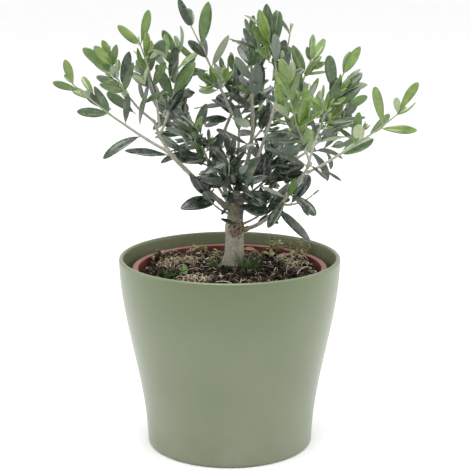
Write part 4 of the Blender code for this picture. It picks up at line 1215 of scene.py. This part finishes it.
litter = table(  # dead olive leaves, in tone 0 orange, 1 tan or 2 grey
    "at length turn tilt tone", ((20, 51), 10, 167, 27, 0), ((44, 10), 9, 20, 8, 1),
    ((-20, -27), 15, 200, 4, 1), ((-5, 44), 14, 80, 6, 1), ((27, -12), 13, -50, 5, 2),
    ((-42, 40), 13, -20, 10, 1), ((5, -48), 16, 10, 4, 1))
litterTones = dict(
    litterOrange=dict(colour=(160, 118, 90)),
    litterTan=dict(colour=(124, 104, 78), spread=0.25, roughness=0.75),
    litterGrey=dict(colour=(108, 112, 90)),
    flakeDark=dict(colour=(40, 32, 28), grain=1, spread=0.4, roughness=0.85, depth=0.1, shine=0.2),
    flakePale=dict(colour=(186, 172, 152), grain=1, spread=0.25, roughness=0.8, depth=0.1, shine=0.2),
    flakeGreen=dict(colour=(92, 110, 62), grain=1, spread=0.25, shine=0.3))
weeds = table(  # in tone 0 green, 1 yellowing or 2 dry
    "at lean height leaves length tone", ((-22, 50), (-0.2, 0.1), 6, 8, 4.5, 1),
    ((-10, 36), (0.3, 0), 6, 7, 4.0, 1), ((-29, -9), (-0.3, -0.3), 2.5, 5, 5.5, 0),
    ((-20, 49), (0.5, 0.1), 5, 10, 3.6, 1), ((-25, 46), (-0.6, 0.0), 5, 10, 3.4, 2),
    ((-11, 8), (-0.4, 0.1), 6, 9, 4.0, 1), ((29, 49), (0.0, 0.12), 12, 14, 4.6, 1),
    ((31, 48), (0.35, 0.0), 10, 12, 4.2, 2), ((42, 38), (-0.1, 0.4), 11, 11, 3.8, 2),
    ((44, 36), (0.4, 0.5), 13, 13, 3.8, 2), ((46, 35), (0.9, 0.4), 11, 13, 3.6, 2),
    ((46, 34), (0.7, -0.1), 7, 10, 3.4, 1), ((35, 20), (0.1, -0.2), 4, 9, 2.8, 1),
    ((27, 34), (0.3, -0.2), 3, 4, 4.6, 1))
weed = dict(footRadius=0.32 * mm, thinner=0.18 * mm, steps=6, bow=0.6, turn=137, bare=0.35)
grass = table(  # tufts: half widths, blades and their heights, share of light ones, lean, half width
    "at reach blades heights light lean half",
    ((12.5, -1.0), (6.0, 5.5), 84, (4, 12), 0.5, (0.25, -0.1), (0.22, 0.40)),
    ((0.0, -4.0), (8.5, 3.0), 52, (1.5, 4), 0.3, (0, -0.2), (0.24, 0.40)),
    ((-8.0, 5.0), (2.5, 4.0), 18, (4, 9), 0.7, (-0.2, 0), (0.3, 0.5)),
    ((-47, -10), (2.5, 1.5), 9, (5, 9), 0.2, (1.2, -0.3), (0.5, 0.9)),
    ((-40, -17), (5.0, 2.5), 26, (3, 7), 0.75, (0.8, -0.1), (0.4, 0.8)))
blade = dict(length=1.3, bow=0.22, steps=8, flat=0.28)
weedTones = dict(
    weedGreen=dict(colour=(84, 116, 58), roughness=0.55),
    weedYellow=dict(colour=(134, 136, 88), roughness=0.6),
    weedDry=dict(colour=(172, 158, 126), spread=0.25, roughness=0.8, shine=0.3),
    grassDark=dict(colour=(48, 68, 43), grain=2.5, spread=0.25),
    grassLight=dict(colour=(98, 124, 74), grain=2.5))


def onSoil(x, y, lift=0.0):  # a point that stands on the compost, x and y and lift in mm
    out = hypot(x, y)
    if out > soilEdge - 1.5:
        x, y = x * (soilEdge - 1.5) / out, y * (soilEdge - 1.5) / out
    return Vector((x * mm, y * mm, soilHeight(x * mm, y * mm) + lift * mm))


def onMat(mat, rng):  # a random place in a mat: x, y and the height above the compost, in mm
    out, angle = mat["reach"] * sqrt(rng.random()), rng.uniform(0, tau)
    heaped = mat["rise"] * (1 - (out / mat["reach"]) ** 2) * rng.random()
    return mat["at"][0] + out * cos(angle), mat["at"][1] + out * sin(angle), heaped


def picked(shares, rng):  # the number of a tone, by the shares of the tones
    return rng.choices(range(len(shares)), shares)[0]


def roundBall(fineness):  # corners and faces of a ball of radius 1
    ball = bmesh.new()
    bmesh.ops.create_icosphere(ball, subdivisions=fineness, radius=1)
    corners = [point.co.copy() for point in ball.verts]
    faces = [tuple(point.index for point in face.verts) for face in ball.faces]
    ball.free()
    return corners, faces


def makeCrumbs(rng):
    balls = [roundBall(1), roundBall(2)]
    heap = Heap(*mottles(dict(grain=0.9, spread=0.35, roughness=0.9, depth=0.3, shine=0.15), crumbTones))

    def lump(x, y, size, mark, lift=0.0):
        turn = Matrix.Rotation(rng.uniform(0, tau), 3, Vector([rng.gauss(0, 1) for _ in range(3)]))
        long, wide, deep = size, size * rng.uniform(0.6, 1), size * rng.uniform(0.4, 0.8)
        shift = Vector((x, y, size * 3))
        centre = onSoil(x, y, size * 0.2 + lift)
        corners, faces = balls[size > crumbs["coarse"]]
        bumpy = [point * (1 + 0.75 * noise.fractal(point * 1.3 + shift, 0.8, 2.0, 2)) for point in corners]
        points = [centre + turn @ Vector((p.x * long, p.y * wide, p.z * deep)) * mm for p in bumpy]
        heap.add(points, faces, mark)

    low, high = crumbs["sizes"]
    for _ in range(crumbs["count"]):
        x, y = scattered(crumbs["reach"], rng)
        size = low + (high - low) * rng.random() ** 4
        mark = picked(crumbs["shares"], rng)
        damp = any(hypot((x - east) / wide, (y - north) / deep) < 1
                   for east, north, wide, deep in crumbs["damp"])
        lump(x, y, size * (0.6 if mark == 4 else 1), mark // 2 if damp else mark)
    for mat in tangles:
        for _ in range(mat["clods"]):
            x, y, heaped = onMat(mat, rng)
            lump(x, y, rng.uniform(*crumbs["clods"]), picked(crumbs["clodShares"], rng), heaped)
    for x, y in crumbs["stones"]:
        lump(x, y, rng.uniform(*crumbs["stoneSizes"]), 4)
    heap.become("compostCrumbs", "soil")
    print("crumbs strewn,", len(heap.faces), "faces")


def strand(rng, x, y, length, bend, lift, rise, steps=7):  # a path that strays across the compost
    course, path = rng.uniform(0, tau), []
    for k in range(steps + 1):
        share = k / steps
        path.append(onSoil(x, y, lift + rise * sin(pi * share)))
        course += rng.gauss(0, bend)
        x, y = x + length / steps * cos(course), y + length / steps * sin(course)
    return path


def makeStraws(rng):
    heap = Heap(*mottles(dict(grain=0.8, depth=0.08, shine=0.2), strawTones))
    for mat in tangles:
        for _ in range(mat["strands"]):
            x, y, heaped = onMat(mat, rng)
            path = strand(rng, x, y, rng.uniform(2.5, 8), 0.6, heaped + 0.2, rng.uniform(0, 2.2))
            radius = rng.uniform(0.12, 0.42) * mm
            shade = mat["tone"] if rng.random() < 0.75 else rng.choice((0, 1, 2))
            heap.add(*tube(path, [radius * (1 - 0.5 * k / len(path)) for k in range(len(path))], 5), shade)
    for plan, sides, *wander in ((loose, 5, 0.22, 0.3, 0.6), (hairs, 4, 0.5, 0.25, 1.4, 5)):
        for _ in range(plan["count"]):
            path = strand(rng, *scattered(plan["reach"], rng), rng.uniform(*plan["lengths"]), *wander)
            radii = [rng.uniform(*plan["radii"]) * mm] * len(path)
            heap.add(*tube(path, radii, sides), picked(plan["shares"], rng))
    for plan in arches:
        path = bowed(onSoil(*plan["start"]), onSoil(*plan["end"]), up * plan["rise"] * mm, 12)
        heap.add(*tube(path, [plan["radius"] * mm] * len(path), 6), 2)
    heap.become("rootsAndStraws", "soil")
    print("roots and straws laid,", len(heap.faces), "faces")


def makeLitter(rng):
    heap = Heap(*mottles(dict(grain=2, spread=0.2, depth=0.05), litterTones))
    for mat in tangles:
        for _ in range(mat["flakes"]):
            x, y, heaped = onMat(mat, rng)
            turn, tilt, length = rng.uniform(0, tau), rng.gauss(0, 0.5), rng.uniform(*flake["lengths"])
            course = aimed(turn, tilt) * length * mm
            middle = onSoil(x, y, heaped + 0.4)
            bow = Vector([rng.gauss(0, 0.12) for _ in range(3)]) * length * mm
            half = rng.uniform(*flake["halves"]) * mm
            girths = [half * share for share in flake["girths"]]
            path = bowed(middle - course / 2, middle + course / 2, bow, 4)
            heap.add(*tube(path, girths, 6, flake["flat"]), picked(flake["shares"], rng))
    for plan in litter:
        heading = aimed(radians(plan["turn"]), radians(plan["tilt"]))
        side = heading.cross(up).normalized()
        upper = square((side.cross(heading) + side * rng.uniform(-0.5, 0.5)).normalized(), heading)
        root, size = onSoil(*plan["at"], 0.8), plan["length"] * mm
        points, faces, _ = leafShape(root, heading, upper, size, rng, 0.34, 2.2)
        heap.add(points, faces, plan["tone"])
    heap.become("deadLeaves", "soil", crease=70)
    print("litter dropped")


def growWeed(heap, plan, rng):
    foot, steps = onSoil(*plan["at"], -0.3), weed["steps"]
    tip = foot + Vector((*plan["lean"], 1)) * plan["height"] * mm
    path = bowed(foot, tip, Vector((rng.uniform(-1, 1), rng.uniform(-1, 1), 0)) * weed["bow"] * mm, steps)
    stem = Limb(path, [weed["footRadius"] - weed["thinner"] * k / steps for k in range(steps + 1)])
    heap.add(*tube(path, stem.radii, 6), plan["tone"])
    for k in range(plan["leaves"]):
        point, along, _ = stem.at(weed["bare"] + (1 - weed["bare"]) * k / plan["leaves"])
        turn = radians(weed["turn"] * k + rng.uniform(-25, 25))
        aside = Matrix.Rotation(turn, 3, along) @ along.orthogonal().normalized()
        heading = (along * rng.uniform(0.2, 0.9) + aside).normalized()
        size = plan["length"] * rng.uniform(0.7, 1.15) * mm
        points, faces, _ = leafShape(point, heading, square(along, heading), size, rng, 0.56, 1.3)
        heap.add(points, faces, 2 if plan["tone"] == 2 and rng.random() < 0.6 else min(plan["tone"], 1))


def makeWeeds(rng):
    heap = Heap(*mottles(dict(grain=1.5, spread=0.2, roughness=0.5, depth=0.03), weedTones))
    for plan in weeds:
        growWeed(heap, plan, rng)
    for tuft in grass:
        for _ in range(tuft["blades"]):
            east, north = scattered(1, rng)
            (x, y), (wide, deep) = tuft["at"], tuft["reach"]
            foot = onSoil(x + east * wide, y + north * deep, -0.4)
            height = rng.uniform(*tuft["heights"]) * mm
            lean = Vector((tuft["lean"][0] + east * 0.9 + rng.gauss(0, 0.35),
                           tuft["lean"][1] + north * 0.8 + rng.gauss(0, 0.35), 1))
            lean *= blade["length"] / lean.length
            steps, drop = blade["steps"], Vector((-lean.x, -lean.y, 0.5))
            path = bowed(foot, foot + lean * height, drop * height * blade["bow"], steps)
            half = rng.uniform(*tuft["half"]) * mm
            radii = [half * (1 - (k / steps) ** 2 * 0.92) for k in range(steps + 1)]
            heap.add(*tube(path, radii, 6, blade["flat"]), 4 if rng.random() < tuft["light"] else 3)
    heap.become("weedsAndGrass", "foliage", crease=70)
    print("weeds and grass up")


# Studio: a pale floor, a soft box at either side, a larger light overhead and an even sky

cameraPlan = dict(place=(3.5, -881.0, 344.0), pitchDown=0.227, focal=1382.0, picture=470, sensor=36.0)
lights = table("name place size power",
               ("leftBox", (-1.25, 0.0, 0.55), 1.1, 4.4), ("rightBox", (1.25, 0.05, 0.55), 1.1, 4.1),
               ("topBox", (0.0, -0.12, 1.35), 0.9, 15.0))
studio = dict(floorReach=8.0, floorTones=((0.3, (0.93, 0.93, 0.93, 1)), (0.7, (0.95, 0.95, 0.95, 1))),
              sky=1.03, aim=(0, 0, 0.17))


def makeStudio():
    finish = Finish("paleFloor", {"Roughness": 0.9, "Specular IOR Level": 0.1})
    finish.set("Base Color", finish.ramp(finish.cloud(90, 2), *studio["floorTones"]))
    ground, reach = Heap(finish.material), studio["floorReach"]
    corners = [(-reach, -reach, 0), (reach, -reach, 0), (reach, reach, 0), (-reach, reach, 0)]
    ground.add(corners, [(0, 1, 2, 3)])
    board = added("floor", ground.mesh("floor"))
    world = bpy.data.worlds.new("studio")
    world.use_nodes = True
    sky = world.node_tree.nodes["Background"]
    sky.inputs["Color"].default_value = (1, 1, 1, 1)
    sky.inputs["Strength"].default_value = studio["sky"]
    bpy.context.scene.world = world
    for plan in lights:
        lamp = bpy.data.lights.new(plan["name"], "AREA")
        lamp.size, lamp.energy = plan["size"], plan["power"]
        hung = added(plan["name"], lamp)
        hung.location = plan["place"]
        hung.rotation_euler = (Vector(studio["aim"]) - hung.location).to_track_quat("-Z", "Y").to_euler()
    view, lens = cameraPlan, bpy.data.cameras.new("camera")
    lens.sensor_width = view["sensor"]
    lens.lens = view["focal"] / view["picture"] * view["sensor"]
    camera = added("camera", lens)
    camera.location = Vector(view["place"]) * mm
    camera.rotation_euler = (pi / 2 - view["pitchDown"], 0, 0)
    bpy.context.scene.camera = camera
    bpy.context.scene.view_settings.view_transform = "Standard"
    print("studio lit")


def main():
    makeStudio()
    makePlanter()
    makeNurseryPot()
    makeSoil()
    limbs = growLimbs()
    stems = {name: limbOn(limbs, plan, plan["girth"] * mm, tipGirth, limbRings["stem"])
             for name, plan in sprays.items()}
    limbTree = makeBark(limbs, stems)
    makeWound(limbTree, Random(seeds["wound"]))
    growFoliage(limbs, stems, limbTree)
    makeCrumbs(Random(seeds["crumbs"]))
    makeStraws(Random(seeds["straws"]))
    makeLitter(Random(seeds["litter"]))
    makeWeeds(Random(seeds["weeds"]))


main()
